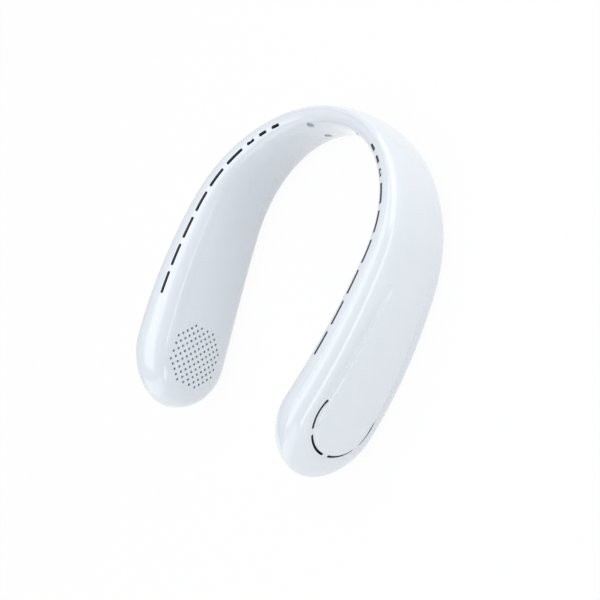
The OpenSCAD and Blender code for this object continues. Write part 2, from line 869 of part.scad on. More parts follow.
// Duct floor: a strip that follows the path and parts the air duct from the cells below it.
divider_share = 0.42;
divider_steps = 16;
outlet_station = fan_station - outlet_len - seat_gap;
// The arm's inward curve brings the strip's neck side nearer to the blower
divider_end = fan_station
    - (fan_station - outlet_station) * arm_radius / (arm_radius - inner_depth(fan_station));
function divider_top(c) = divider_share * (half_height(c) - wall);

module duct_floor() {
    points = [
        for (i = [0 : divider_steps])
            let (c = divider_start + (divider_end - divider_start) * i / divider_steps)
            let (z = divider_top(c))
            let (inner = seat_gap - skin_reach(c, z, -1, wall), outer = skin_reach(c, z, 1, wall) - seat_gap)
            each [
                section_point(c, inner, z), section_point(c, outer, z),
                section_point(c, outer, z - divider_thick), section_point(c, inner, z - divider_thick)
            ]
    ];
    last = 4 * divider_steps;
    color(white)
        polyhedron(
            points = points,
            faces = concat(
                [for (i = [0 : divider_steps - 1]) for (j = [0 : 3])
                    let (a = 4 * i + j, b = 4 * i + (j + 1) % 4)
                    each quad(a, b, b + 4, a + 4, false)],
                quad(0, 3, 2, 1, false),
                quad(last, last + 1, last + 2, last + 3, false)
            ),
            convexity = 4
        );
}

// Frame of the board: X along it, Y up, Z outwards, zero at the path.
board_station = half_len - board_setback;
module at_board() {
    at_station(board_station)
        rotate([90, 0, 0])
            mirror([0, 0, 1])
                children();
}

// Skin over a place in the board's frame, measured square to the board.
function board_reach(x, z, face, inset) =
    let (c = board_station + x)
    skin_reach(c, z + rise(board_station) - rise(c), face, inset) - face * x ^ 2 / (2 * arm_radius);

// Cells: one in each arm, below the duct floor and clear of the board and its screws.
board_out = board_thick / 2;
cell_x = board_setback - cell_setback;
cell_back = cell_x - cell_len / 2;
cell_inset = board_thick - board_out + screw_head_height + seat_gap;
function floor_bottom(x) =
    let (c = board_station + x)
    rise(c) - rise(board_station) + divider_top(c) - divider_thick;
cell_top = min(floor_bottom(cell_back), floor_bottom(cell_back + cell_len)) - 2 * seat_gap;
module battery() {
    color(cell_blue)
        at_board()
            translate([cell_back, cell_top - cell_height, -cell_inset - cell_thick])
                cube([cell_len, cell_height, cell_thick]);
}

// Foam pads between the cells and the neck side of the shell.
pad_back = cell_x - pad_len / 2;
pad_bottom = cell_top - (cell_height + pad_height) / 2;
pad_thick = board_reach(pad_back, pad_bottom, -1, wall) - 2 * seat_gap - cell_inset - cell_thick;
module battery_pad() {
    color(dark_grey)
        at_board()
            translate([pad_back, pad_bottom, -cell_inset - cell_thick - pad_thick])
                cube([pad_len, pad_height, pad_thick]);
}

// Controls, all on the left arm: the board stands upright behind the outer face.
socket_depth = 0.6;
socket_station = board_station - board_len / 2 + socket_width;
socket_x = socket_station - board_station;
function low_edge(c) = rise(c) - half_height(c);
socket_mouth = low_edge(socket_station) - rise(board_station) + socket_depth;
socket_tilt = atan(
    (low_edge(socket_station - socket_width / 2) - low_edge(socket_station + socket_width / 2)) / socket_width
);
board_bottom = socket_mouth + socket_len + socket_width / 2 * sin(socket_tilt);
button_x = board_setback - button_setback;
board_screw_places = [
    [board_len / 2 - small_head_radius - seat_gap, board_bottom + board_height / 3],
    [-board_len / 2 + small_head_radius + seat_gap, board_bottom + small_head_radius]
];

module main_board() {
    color(board_green)
        at_board()
            difference() {
                translate([-board_len / 2, board_bottom, board_out - board_thick])
                    cube([board_len, board_height, board_thick]);
                for (place = board_screw_places)
                    translate([place[0], place[1], board_out - board_thick - over])
                        cylinder(r = small_screw_radius + press_gap, h = board_thick + 2 * over);
            }
}

module stadium(width, thick) {
    square([width - thick, thick], center = true);
    for (side = [-1, 1])
        translate([side * (width - thick) / 2, 0])
            circle(d = thick);
}

// The charging socket hangs from the board's lower edge, its mouth just inside the shells.
socket_shell = 0.3;
socket_tongue = [6.7, 0.7];
module socket_frame() {
    at_station(board_station)
        translate([socket_x, board_out - board_thick / 2, socket_mouth])
            rotate([0, socket_tilt, 0])
                children();
}

module usb_socket() {
    color(steel)
        socket_frame() {
            difference() {
                linear_extrude(height = socket_len - seat_gap / 5)
                    stadium(socket_width, socket_thick);
                translate([0, 0, -over])
                    linear_extrude(height = socket_len + over - 2 * socket_shell)
                        stadium(socket_width - 2 * socket_shell, socket_thick - 2 * socket_shell);
            }
            translate([-socket_tongue[0] / 2, -socket_tongue[1] / 2, 2 * socket_shell])
                cube([socket_tongue[0], socket_tongue[1], socket_len - 3 * socket_shell]);
        }
}

module socket_cut() {
    socket_frame()
        translate([0, 0, -2 * wall])
            linear_extrude(height = 4 * wall)
                stadium(socket_width + 2 * seat_gap, socket_thick + 2 * seat_gap);
}

// The button's cap, its flange behind the shell and the stem over the switch's plunger.
plunger_radius = 1.6;
plunger_height = 0.35;
flange_wide = 1;
flange_thick = 0.8;
plunger_top = board_out + switch_height + plunger_height;
stem_end = plunger_top + button_travel + seat_gap / 5;
flange_z = stem_end + seat_gap / 5;
button_face = board_reach(button_x, -relief_drop, 1, 0) + button_proud;

module tact_switch() {
    color(dark_grey)
        at_board()
            translate([button_x, -relief_drop, board_out]) {
                translate([-switch_size / 2, -switch_size / 2, 0])
                    cube([switch_size, switch_size, switch_height]);
                translate([0, 0, switch_height])
                    cylinder(r = plunger_radius, h = plunger_height);
            }
}

module power_button() {
    color(white)
        at_board()
            translate([button_x, -relief_drop, 0]) {
                translate([0, 0, flange_z])
                    cylinder(r = button_radius + flange_wide, h = flange_thick);
                translate([0, 0, flange_z + flange_thick])
                    cylinder(r = button_radius, h = button_face - flange_z - flange_thick);
                translate([0, 0, stem_end])
                    cylinder(r = plunger_radius, h = flange_z - stem_end);
            }
}

// Indicator lights: pins through the shell, a bar behind it and legs down to the board.
light_first = button_x - button_radius - 2 * flange_wide - light_pitch;
light_places = [for (i = [0 : light_count - 1]) light_first - i * light_pitch];
guide_thick = 1;
guide_height = 3;
guide_inside = board_reach(light_first, -relief_drop - guide_height / 2, 1, wall) - 2 * seat_gap;

module light_guide() {
    color(white)
        at_board()
            translate([0, -relief_drop, 0]) {
                translate([
                    light_places[light_count - 1] - guide_height / 2,
                    -guide_height / 2,
                    guide_inside - guide_thick
                ])
                    cube([(light_count - 1) * light_pitch + guide_height, guide_height, guide_thick]);
                for (x = light_places)
                    translate([x, 0, guide_inside])
                        cylinder(r = light_radius, h = board_reach(x, -relief_drop, 1, 0) - guide_inside);
                for (x = [light_places[0], light_places[light_count - 1]])
                    translate([x, 0, board_out])
                        cylinder(r = light_radius, h = guide_inside - guide_thick - board_out);
            }
}

module control_cuts() {
    at_board()
        translate([0, -relief_drop, 0]) {
            translate([button_x, 0, flange_z])
                cylinder(r = button_radius + button_gap, h = button_face);
            for (x = light_places)
                translate([x, 0, guide_inside])
                    cylinder(r = light_radius + button_gap / 2, h = button_face);
        }
}

module board_posts() {
    at_board()
        for (place = board_screw_places)
            translate([place[0], place[1], board_out])
                difference() {
                    cylinder(
                        r = ear_radius,
                        h = board_reach(place[0], place[1], 1, 2 * wall / 3) - board_out
                    );
                    translate([0, 0, -over])
                        cylinder(r = small_screw_radius, h = 2 * board_thick + over);
                }
}

// Small screw: its head sits on the plane z = 0 and its thread runs down through the grip.
module small_screw(grip, bite) {
    cylinder(r = small_head_radius, h = screw_head_height);
    translate([0, 0, -grip - bite + seat_gap])
        cylinder(r = small_screw_radius - press_gap, h = grip + bite - seat_gap);
}

// Screws of the blower, set from the neck side through the ears into the posts.
module scroll_screw_set() {
    color(steel)
        at_fan()
            for (place = ear_places)
                translate([place[0], place[1], scroll_wall])
                    small_screw(scroll_wall, 2 * scroll_wall);
}

// Screws of the board, set from the neck side into the posts of the outer shell.
module board_screw_set() {
    color(steel)
        at_board()
            for (place = board_screw_places)
                translate([place[0], place[1], board_out - board_thick])
                    mirror([0, 0, 1])
                        small_screw(board_thick, 2 * board_thick);
}

module fan_posts() {
    at_fan()
        for (place = ear_places)
            translate([place[0], place[1], -fan_post_len(place)])
                cylinder(r = ear_radius, h = fan_post_len(place));
}

module fan_pilot_holes() {
    at_fan()
        for (place = ear_places)
            translate([place[0], place[1], -2 * scroll_wall])
                cylinder(r = small_screw_radius, h = 2 * scroll_wall + over);
}

// Harness: one round cable along the band, from one blower to the other.
harness_share = 0.29;
harness_sides = 8;
harness_steps = 20;
module neck_harness() {
    places = [for (i = [-harness_steps : harness_steps]) outlet_station * i / harness_steps];
    rings = len(places);
    points = [
        for (s = places)
            let (z = harness_share * (half_height(abs(s)) - wall))
            let (n = skin_reach(abs(s), z, 1, wall) / 2)
            for (j = [0 : harness_sides - 1])
                let (a = 360 * j / harness_sides)
                section_point(s, n + harness_dia / 2 * cos(a), z + harness_dia / 2 * sin(a))
    ];
    last = harness_sides * (rings - 1);
    color(dark_grey)
        polyhedron(
            points = points,
            faces = concat(
                [for (i = [0 : rings - 2]) for (j = [0 : harness_sides - 1])
                    let (a = harness_sides * i + j, b = harness_sides * i + (j + 1) % harness_sides)
                    each quad(a, a + harness_sides, b + harness_sides, b, false)],
                [[for (j = [0 : harness_sides - 1]) j]],
                [[for (j = [harness_sides - 1 : -1 : 0]) last + j]]
            ),
            convexity = 4
        );
}

// Band screws: two each side of the back, under plugs on the neck side.
plug_depth = 0.3;
plug_thick = 1;
plug_gap = 0.05;
plug_wall = 0.8;
band_boss_radius = plug_radius + plug_wall;
band_boss_face = 1;
outer_boss_wall = 1.6;
outer_boss_radius = screw_radius + outer_boss_wall;
band_screw_bite = 1.2;
band_places = [band_screw_high, -band_screw_low];

function band_skin(z) = skin_reach(band_screw_station, z, -1, 0);
function band_boss_end(z) = skin_reach(band_screw_station, abs(z) + band_boss_radius, -1, plug_gap);
function band_seat(z) = band_skin(z) - plug_depth - plug_thick - plug_gap - screw_head_height;

// Frame of one band screw: Z runs outwards from the path.
module at_band(z) {
    at_station(band_screw_station)
        translate([0, 0, z])
            rotate([-90, 0, 0])
                children();
}

module band_bosses_inner() {
    for (z = band_places)
        at_band(z)
            translate([0, 0, -band_boss_end(z)])
                cylinder(r = band_boss_radius, h = band_boss_end(z) - band_boss_face);
}

module band_cuts_inner() {
    for (z = band_places)
        at_band(z) {
            translate([0, 0, -band_skin(z) - wall])
                cylinder(r = plug_radius + plug_gap, h = wall + band_skin(z) - band_seat(z));
            translate([0, 0, -band_skin(z)])
                cylinder(r = screw_radius + plug_gap, h = band_skin(z));
        }
}

module band_bosses_outer() {
    for (z = band_places)
        at_band(z)
            translate([0, 0, seam - band_boss_face])
                difference() {
                    cylinder(
                        r = outer_boss_radius,
                        h = skin_reach(band_screw_station, abs(z) + outer_boss_radius, 1, wall / 2)
                            + band_boss_face - seam
                    );
                    translate([0, 0, -over])
                        cylinder(r = screw_radius, h = over + band_screw_bite + band_boss_face);
                }
}

module band_screw_pair() {
    color(steel)
        for (z = band_places)
            at_band(z) {
                translate([0, 0, -band_seat(z) - screw_head_height])
                    cylinder(r = screw_head_radius, h = screw_head_height);
                translate([0, 0, -band_seat(z)])
                    cylinder(r = screw_radius - press_gap, h = band_seat(z) + band_screw_bite);
            }
}

module plug_pair() {
    color(white)
        for (z = band_places)
            at_band(z)
                translate([0, 0, -band_skin(z) + plug_depth])
                    cylinder(r = plug_radius, h = plug_thick);
}

// The two shells.
module outer_shell() {
    color(white)
        difference() {
            stand() {
                difference() {
                    shell_half(1);
                    for (side = [0, 1])
                        mirror([side, 0, 0]) {
                            relief_cut();
                            inlet_cuts();
                        }
                    mirror([1, 0, 0]) {
                        control_cuts();
                        socket_cut();
                    }
                }
                for (side = [0, 1])
                    mirror([side, 0, 0]) {
                        fan_posts();
                        band_bosses_outer();
                    }
                mirror([1, 0, 0]) board_posts();
            }
            both_arms() fan_pilot_holes();
            below_table();
        }
}

module inner_shell() {
    color(white)
        difference() {
            stand()
                difference() {
                    union() {
                        shell_half(-1);
                        for (side = [0, 1])
                            mirror([side, 0, 0]) band_bosses_inner();
                    }
                    for (side = [0, 1])
                        mirror([side, 0, 0]) {
                            outlet_cuts();
                            grille_window(0);
                            band_cuts_inner();
                        }
                    mirror([1, 0, 0]) socket_cut();
                }
            below_table();
        }
}

outer_shell();
inner_shell();
left_arm() grille();  // left_grille
right_arm() grille();  // right_grille
left_arm() scroll();  // left_scroll
right_arm() scroll();  // right_scroll
left_arm() scroll_lid();  // left_scroll_lid
right_arm() scroll_lid();  // right_scroll_lid
left_arm() impeller();  // left_impeller
right_arm() impeller();  // right_impeller
left_arm() rotor_cup();  // left_rotor_cup
right_arm() rotor_cup();  // right_rotor_cup
left_arm() rotor_magnet();  // left_rotor_magnet
right_arm() rotor_magnet();  // right_rotor_magnet
left_arm() shaft();  // left_shaft
right_arm() shaft();  // right_shaft
left_arm() bearing();  // left_bearing
right_arm() bearing();  // right_bearing
left_arm() stator_core();  // left_stator
right_arm() stator_core();  // right_stator
left_arm() coils();  // left_coils
right_arm() coils();  // right_coils
left_arm() duct_floor();  // left_duct_floor
right_arm() duct_floor();  // right_duct_floor
left_arm() battery();  // left_battery
right_arm() battery();  // right_battery
both_arms() battery_pad();  // battery_pads
left_arm() main_board();
left_arm() usb_socket();
left_arm() tact_switch();
left_arm() power_button();
left_arm() light_guide();
stand() neck_harness();
both_arms() band_screw_pair();  // band_screws
both_arms() plug_pair();  // screw_plugs
both_arms() scroll_screw_set();  // scroll_screws
left_arm() board_screw_set();  // board_screws
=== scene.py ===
"""Electric neck fan: the looks of its housing, grilles and controls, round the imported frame.

Metres, +Z up, the back of the neck at +Y and the arms open towards -Y. A station is a distance along
the centre path from the middle of the back, negative on the left, and c is a station without its sign.
A level is a share of the section's half height, from -1 to 1. In a section, n runs outwards and z up.
"""

import json
import math

import bpy
import numpy as np
from bpy.props import FloatProperty, FloatVectorProperty, IntProperty, PointerProperty
from mathutils import Matrix, Vector
from mathutils.bvhtree import BVHTree


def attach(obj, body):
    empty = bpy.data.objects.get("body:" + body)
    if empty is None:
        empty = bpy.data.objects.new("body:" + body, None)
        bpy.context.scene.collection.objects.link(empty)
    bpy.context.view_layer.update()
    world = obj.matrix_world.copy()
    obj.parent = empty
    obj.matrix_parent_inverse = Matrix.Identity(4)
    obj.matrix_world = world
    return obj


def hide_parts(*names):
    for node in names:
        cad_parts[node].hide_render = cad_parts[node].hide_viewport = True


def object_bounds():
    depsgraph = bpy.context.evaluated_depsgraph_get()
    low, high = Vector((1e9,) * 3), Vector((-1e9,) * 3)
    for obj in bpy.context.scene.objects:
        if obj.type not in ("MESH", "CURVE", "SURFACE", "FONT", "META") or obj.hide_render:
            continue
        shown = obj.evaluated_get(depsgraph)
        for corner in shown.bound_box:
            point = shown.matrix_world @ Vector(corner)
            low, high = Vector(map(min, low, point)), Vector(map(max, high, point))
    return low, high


bl_info = {
    "name": "Electric neck fan",
    "version": (1, 0, 0),
    "blender": (4, 5, 0),
    "location": "View3D > Sidebar > Neck fan",
    "description": "Builds the housing, grilles, controls and finishes of an electric neck fan",
    "category": "Object",
}

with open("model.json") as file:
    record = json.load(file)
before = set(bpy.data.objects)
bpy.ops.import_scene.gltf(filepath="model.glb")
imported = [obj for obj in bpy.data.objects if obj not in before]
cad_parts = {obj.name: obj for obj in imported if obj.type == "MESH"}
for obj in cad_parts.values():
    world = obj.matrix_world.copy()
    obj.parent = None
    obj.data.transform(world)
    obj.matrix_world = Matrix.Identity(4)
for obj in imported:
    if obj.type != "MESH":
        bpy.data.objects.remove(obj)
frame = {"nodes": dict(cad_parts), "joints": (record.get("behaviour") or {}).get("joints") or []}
CAD_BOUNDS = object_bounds()
MM = 0.001
SIDES = {"left": -1, "right": 1}
OUTSIDE = 1
NECK_SIDE = -1

# How far cutters stand above the skin.
CUTTER_LIFT = 0.4 * MM

# Each lamp's name, its place and its width and depth in metres, and the setting that holds its power.
LAMPS = (
    ("Overhead softbox", (0.05, 0, 0.9), (1.6, 1.1), "overhead_power"),
    ("Back softbox", (0.3, 0.95, 0.26), (1.4, 0.46), "back_power"),
    ("Strip light", (1.1, 0, 0.06), (1.6, 0.13), "strip_power"),
    ("Front softbox", (0.15, -1, 0.25), (1.8, 0.5), "front_power"),
)

# The point that every lamp is turned to, in metres.
LAMP_TARGET = (0, 0, 0.05)


def length(name, description, millimetres):
    """A length property with its default given in millimetres."""
    return FloatProperty(
        name=name,
        description=description,
        default=millimetres * MM,
        unit="LENGTH",
        subtype="DISTANCE",
        precision=4,
    )


def turn(name, description, degrees):
    """An angle property with its default given in degrees."""
    return FloatProperty(
        name=name,
        description=description,
        default=math.radians(degrees),
        unit="ROTATION",
        subtype="ANGLE",
    )


def share(name, description, value):
    """A property between 0 and 1."""
    return FloatProperty(
        name=name,
        description=description,
        default=value,
        min=0,
        max=1,
        subtype="FACTOR",
    )


def number(name, description, value):
    """A plain number, such as an exponent or a strength."""
    return FloatProperty(name=name, description=description, default=value, precision=3)


def count(name, description, value):
    """A whole number of repeats."""
    return IntProperty(name=name, description=description, default=value, min=0)


def colour(name, description, value):
    """A colour property."""
    return FloatVectorProperty(
        name=name,
        description=description,
        default=value,
        size=3,
        min=0,
        max=1,
        subtype="COLOR",
    )


class NeckFanHousing(bpy.types.PropertyGroup):
    """Sizes of the U-shaped housing."""

    bend_radius: length("Bend radius", "Radius of the centre path behind the neck", 78)
    bend_angle: turn("Bend angle", "Angle that the bend turns on each side", 80)
    ease_radius: length("Ease radius", "Radius of the curve between the bend and the arm", 98)
    ease_angle: turn("Ease angle", "Angle of that curve", 8)
    arm_radius: length("Arm radius", "Radius of the arm's slight inward curve", 329)
    arm_angle: turn("Arm angle", "Angle that the arm turns", 20.5)
    back_rise: length("Back rise", "Height of the path at the back, above its level at the tip", 17.8)
    shoulder_rise: length("Shoulder rise", "Height of the path at the shoulder control point", 7.1)
    cheek_rise: length("Cheek rise", "Height of the path at the cheek control point", 1.8)
    back_height: length("Back height", "Height of the housing behind the neck", 33.4)
    shoulder_height: length("Shoulder height", "Height at the shoulder control point", 60.6)
    cheek_height: length("Cheek height", "Height at the cheek control point", 67.4)
    end_height: length("End height", "Height towards the arm's end", 62.4)
    back_inner: length("Back inner depth", "Depth to the neck side, behind the neck", 8)
    shoulder_inner: length("Shoulder inner depth", "Depth to the neck side at the shoulder", 14.5)
    cheek_inner: length("Cheek inner depth", "Depth to the neck side at the cheek", 18.9)
    end_inner: length("End inner depth", "Depth to the neck side towards the arm's end", 18.9)
    back_outer: length("Back outer depth", "Depth to the outer side, behind the neck", 5.6)
    shoulder_outer: length("Shoulder outer depth", "Depth to the outer side at the shoulder", 9)
    cheek_outer: length("Cheek outer depth", "Depth to the outer side at the cheek", 8.1)
    end_outer: length("End outer depth", "Depth to the outer side towards the arm's end", 9.1)
    back_lean: turn("Back lean", "Lean of the section behind the neck", 10)
    shoulder_lean: turn("Shoulder lean", "Lean of the section at the shoulder", -4.2)
    cheek_lean: turn("Cheek lean", "Lean of the section at the cheek", -1.9)
    cap_len: length("Cap length", "Length over which the arm's end rounds off", 35)
    wall: length("Wall", "Wall of both shells", 2.2)
    seam: length("Seam", "Gap of the parting line", 0.04)
    rim_round: length("Rim rounding", "Width of the eased edge along the parting line", 0.12)
    rim_drop: length("Rim drop", "Depth of the eased edge along the parting line", 0.05)
    rest_pitch: turn("Rest pitch", "Pitch that brings the arms' lower edges onto the table", 9.8)
    height_power: number("Height exponent", "Roundness of the section over its height", 2.44)
    inner_power: number("Inner exponent", "Roundness of the section on the neck side", 3.3)
    outer_power: number("Outer exponent", "Roundness of the section on the outer side", 2.1)
    cap_height_power: number("Cap height exponent", "Roundness of the arm's end from the side", 2.02)
    cap_depth_power: number("Cap depth exponent", "Roundness of the arm's end from above", 2.35)


class NeckFanOpenings(bpy.types.PropertyGroup):
    """Slots, holes and the relief of the outer face."""

    long_slots: count("Long slots", "Long outlet slots on each arm", 6)
    short_slots: count("Short slots", "Short outlet slots on each arm", 3)
    long_slot_len: length("Long slot length", "Length of a long outlet slot", 14.2)
    short_slot_len: length("Short slot length", "Length of a short outlet slot", 6)
    slot_width: length("Slot width", "Width of every outlet slot", 1.8)
    long_slot_pitch: length("Long slot pitch", "Distance from one long slot to the next", 18.1)
    short_slot_pitch: length("Short slot pitch", "Distance from one short slot to the next", 10.3)
    slot_setback: length("Slot setback", "Distance from the tip to the first slot", 59.9)
    slot_lean: turn("Slot lean", "Angle of the slots past the top edge, towards the neck", 13.5)
    lip: length("Lip", "Width of the eased edge round every opening", 0.16)
    grille_setback: length("Grille setback", "Distance from the tip to the grille's middle", 31.5)
    grille_radius: length("Grille radius", "Radius of the grille insert", 20.4)
    grille_gap: length("Grille gap", "Hairline gap round the grille insert", 0.02)
    grille_pitch: length("Grille pitch", "Distance between neighbouring holes", 3.42)
    grille_hole: length("Grille hole", "Diameter of a grille hole", 1.6)
    grille_rows: count("Grille rows", "Rows of holes each side of the middle one", 7)
    grille_corner: count("Grille corner", "Rows out to the cut corners of the field of holes", 10)
    relief_setback: length("Relief setback", "Distance from the tip to the tongue end's centre", 38.2)
    relief_radius: length("Relief radius", "Radius of the groove round the tongue's end", 20.8)
    relief_tail_half: length("Relief tail", "Half width of the groove's line where it fades out", 14.6)
    relief_len: length("Relief length", "Length of the groove behind the tongue's round end", 72)
    relief_depth: length("Relief depth", "Depth of the groove round the tongue's end", 1.2)
    relief_steep: length("Relief steep side", "Width of the groove's side next to the tongue", 1.6)
    relief_slope: length("Relief gentle side", "Width of the groove's outer side", 5.4)
    relief_drop: length("Relief drop", "Drop of the tongue's middle line below the path", 1.8)
    inlets: count("Inlets", "Arc inlet slots round each tongue's end", 4)
    inlet_span: turn("Inlet span", "Angle of one arc inlet slot", 44)
    inlet_pitch: turn("Inlet pitch", "Angle from one arc inlet slot to the next", 57.5)
    inlet_turn: turn("Inlet turn", "Turn of the inlet slots about the tongue's end", -4)
    inlet_width: length("Inlet width", "Width of an arc inlet slot", 1.3)
    inlet_offset: length("Inlet offset", "Distance of the arc inlets outside the groove's line", 0.6)


class NeckFanParts(bpy.types.PropertyGroup):
    """Places and sizes of the controls and screws that the shells are cut for."""

    fan_setback: length("Fan setback", "Distance from the tip to the blower's axis", 35)
    fan_middle: length("Fan middle", "Distance from the path to the blower's middle", 4.5)
    fan_drop: length("Fan drop", "Drop of the blower's axis below the path", 0.7)
    board_setback: length("Board setback", "Distance from the tip to the board's middle", 92.3)
    board_len: length("Board length", "Length of the main board", 44)
    board_thick: length("Board thickness", "Thickness of the main board", 1)
    button_setback: length("Button setback", "Distance from the tip to the power button", 78.3)
    button_radius: length("Button radius", "Radius of the button's cap", 5)
    button_gap: length("Button gap", "Sliding gap round the button", 0.1)
    button_proud: length("Button height", "How far the button stands out of the shell", 0.5)
    button_round: length("Button rounding", "Radius of the button's edge", 0.6)
    button_dish: length("Button dish", "Depth of the dish in the button's face", 0.35)
    flange_wide: length("Flange width", "Width of the button's flange behind the shell", 1)
    flange_thick: length("Flange thickness", "Thickness of the button's flange", 0.8)
    flange_place: length("Flange place", "Distance from the path to the flange", 4.55)
    stem_place: length("Stem place", "Distance from the path to the stem's end", 4.5)
    stem_radius: length("Stem radius", "Radius of the button's stem", 1.6)
    light_count: count("Lights", "Number of indicator lights", 4)
    light_pitch: length("Light pitch", "Distance between the lights", 3.2)
    light_radius: length("Light radius", "Radius of a light's window", 0.6)
    guide_height: length("Guide height", "Height of the bar behind the lights", 3)
    guide_thick: length("Guide thickness", "Thickness of the bar behind the lights", 1)
    socket_width: length("Socket width", "Width of the charging socket's shell", 8.9)
    socket_thick: length("Socket thickness", "Thickness of the charging socket's shell", 3.2)
    socket_len: length("Socket length", "Length of the charging socket's shell", 7.25)
    socket_depth: length("Socket depth", "Depth of the socket's mouth inside the housing", 0.6)
    seat_gap: length("Seat gap", "Gap between the shells and the pieces that seat in them", 0.25)
    socket_sheet: length("Socket sheet", "Thickness of the socket's metal", 0.3)
    tongue_width: length("Tongue width", "Width of the socket's contact tongue", 6.7)
    tongue_thick: length("Tongue thickness", "Thickness of the socket's contact tongue", 0.7)
    contacts: count("Contacts", "Contacts on each face of the socket's tongue", 12)
    plug_station: length("Plug station", "Distance from the middle of the back to the plugs", 23.4)
    plug_high: length("Upper plug", "Height of the upper plugs above the path", 11.6)
    plug_low: length("Lower plug", "Drop of the lower plugs below the path", 4.4)
    plug_radius: length("Plug radius", "Radius of a screw plug", 2.2)
    plug_thick: length("Plug thickness", "Thickness of a screw plug", 1)
    plug_depth: length("Plug depth", "Depth of a plug's face below the skin", 0.3)
    plug_gap: length("Plug gap", "Gap round a screw plug", 0.05)


class NeckFanFinish(bpy.types.PropertyGroup):
    """Colours and finishes."""

    shell: colour("White gloss", "Cool white of the moulded shells", (0.775, 0.815, 0.86))
    shell_roughness: share("Gloss roughness", "Roughness of the moulded gloss", 0.2)
    coat_roughness: share("Coat roughness", "Roughness of the polished outer skin", 0.07)
    # Inside: painted shade, a dark grey on the shells' inner faces that stands in for the shade within
    # the closed housing.
    inside: colour("Inside", "Dull inner faces of the shells", (0.1, 0.108, 0.125))
    # Opening wall: painted shade, a dark grey on the walls of the slots and holes that stands in for
    # the shade inside them.
    opening: colour("Opening wall", "Shaded walls of the slots and holes", (0.16, 0.175, 0.2))
    # Plug: painted shade, a soft grey on the white screw plugs that stands in for the shade in their
    # shallow recesses.
    plug: colour("Plug", "Soft grey of the screw plugs", (0.4, 0.42, 0.46))
    housing_grey: colour("Blower housing", "Dark grey of the blower housings", (0.035, 0.037, 0.042))
    impeller: colour("Impeller", "Off-white of the impellers", (0.62, 0.63, 0.64))
    steel: colour("Steel", "Plated steel", (0.55, 0.56, 0.58))
    magnet: colour("Magnet", "Bonded ferrite", (0.03, 0.03, 0.032))
    bronze: colour("Bronze", "Sintered bronze", (0.42, 0.26, 0.11))
    copper: colour("Copper", "Enamelled winding wire", (0.55, 0.2, 0.06))
    pouch: colour("Cell pouch", "Laminate film of the cells", (0.52, 0.55, 0.6))
    foam: colour("Foam", "Foam pads and cable sheath", (0.02, 0.02, 0.022))
    board: colour("Board", "Solder mask of the main board", (0.01, 0.09, 0.035))
    guide: colour("Light guide", "Milky light guide", (0.78, 0.83, 0.88))
    gold: colour("Gold plating", "Plated contacts of the charging socket", (0.75, 0.52, 0.2))


class NeckFanStage(bpy.types.PropertyGroup):
    """Camera and studio light."""

    azimuth: turn("Azimuth", "Bearing of the camera in the housing's worn frame", 82.57)
    elevation: turn("Elevation", "Height angle of the camera in the worn frame", 43.09)
    roll: turn("Roll", "Roll of the camera", -59.31)
    distance: length("Distance", "Distance of the camera from its target", 731.58)
    target_x: length("Target across", "Target of the camera in the worn frame, across", 14.872)
    target_y: length("Target along", "Target of the camera in the worn frame, along", -107.12)
    target_z: length("Target up", "Target of the camera in the worn frame, up", 8.57)
    lens: number("Lens", "Focal length on a 36 mm sensor", 78.37)
    world_tint: colour("World tint", "Colour of the pale room", (0.93, 0.96, 1.0))
    world_strength: number("World strength", "Light of the pale room", 0.5)
    overhead_power: number("Overhead power", "Power of the overhead softbox in watts", 6.4)
    back_power: number("Back power", "Power of the softbox behind the fan in watts", 3.6)
    strip_power: number("Strip power", "Power of the low strip light in watts", 1.7)
    front_power: number("Front power", "Power of the softbox before the arms' ends in watts", 2.6)
    floor_radius: length("Floor radius", "Radius of the floor, which reaches past every view", 30000)
    floor_tone: share("Floor tone", "Lightness of the floor", 0.9)
    floor_bounce: share("Floor bounce", "Lightness of the floor as the fan's shell sees it", 0.75)
    shadow_share: share("Shadow share", "How much of the floor's own shading the camera sees", 0.05)


class NeckFanSettings(bpy.types.PropertyGroup):
    """All sizes, colours and lights of the fan."""

    housing: PointerProperty(type=NeckFanHousing)
    openings: PointerProperty(type=NeckFanOpenings)
    parts: PointerProperty(type=NeckFanParts)
    finish: PointerProperty(type=NeckFanFinish)
    stage: PointerProperty(type=NeckFanStage)


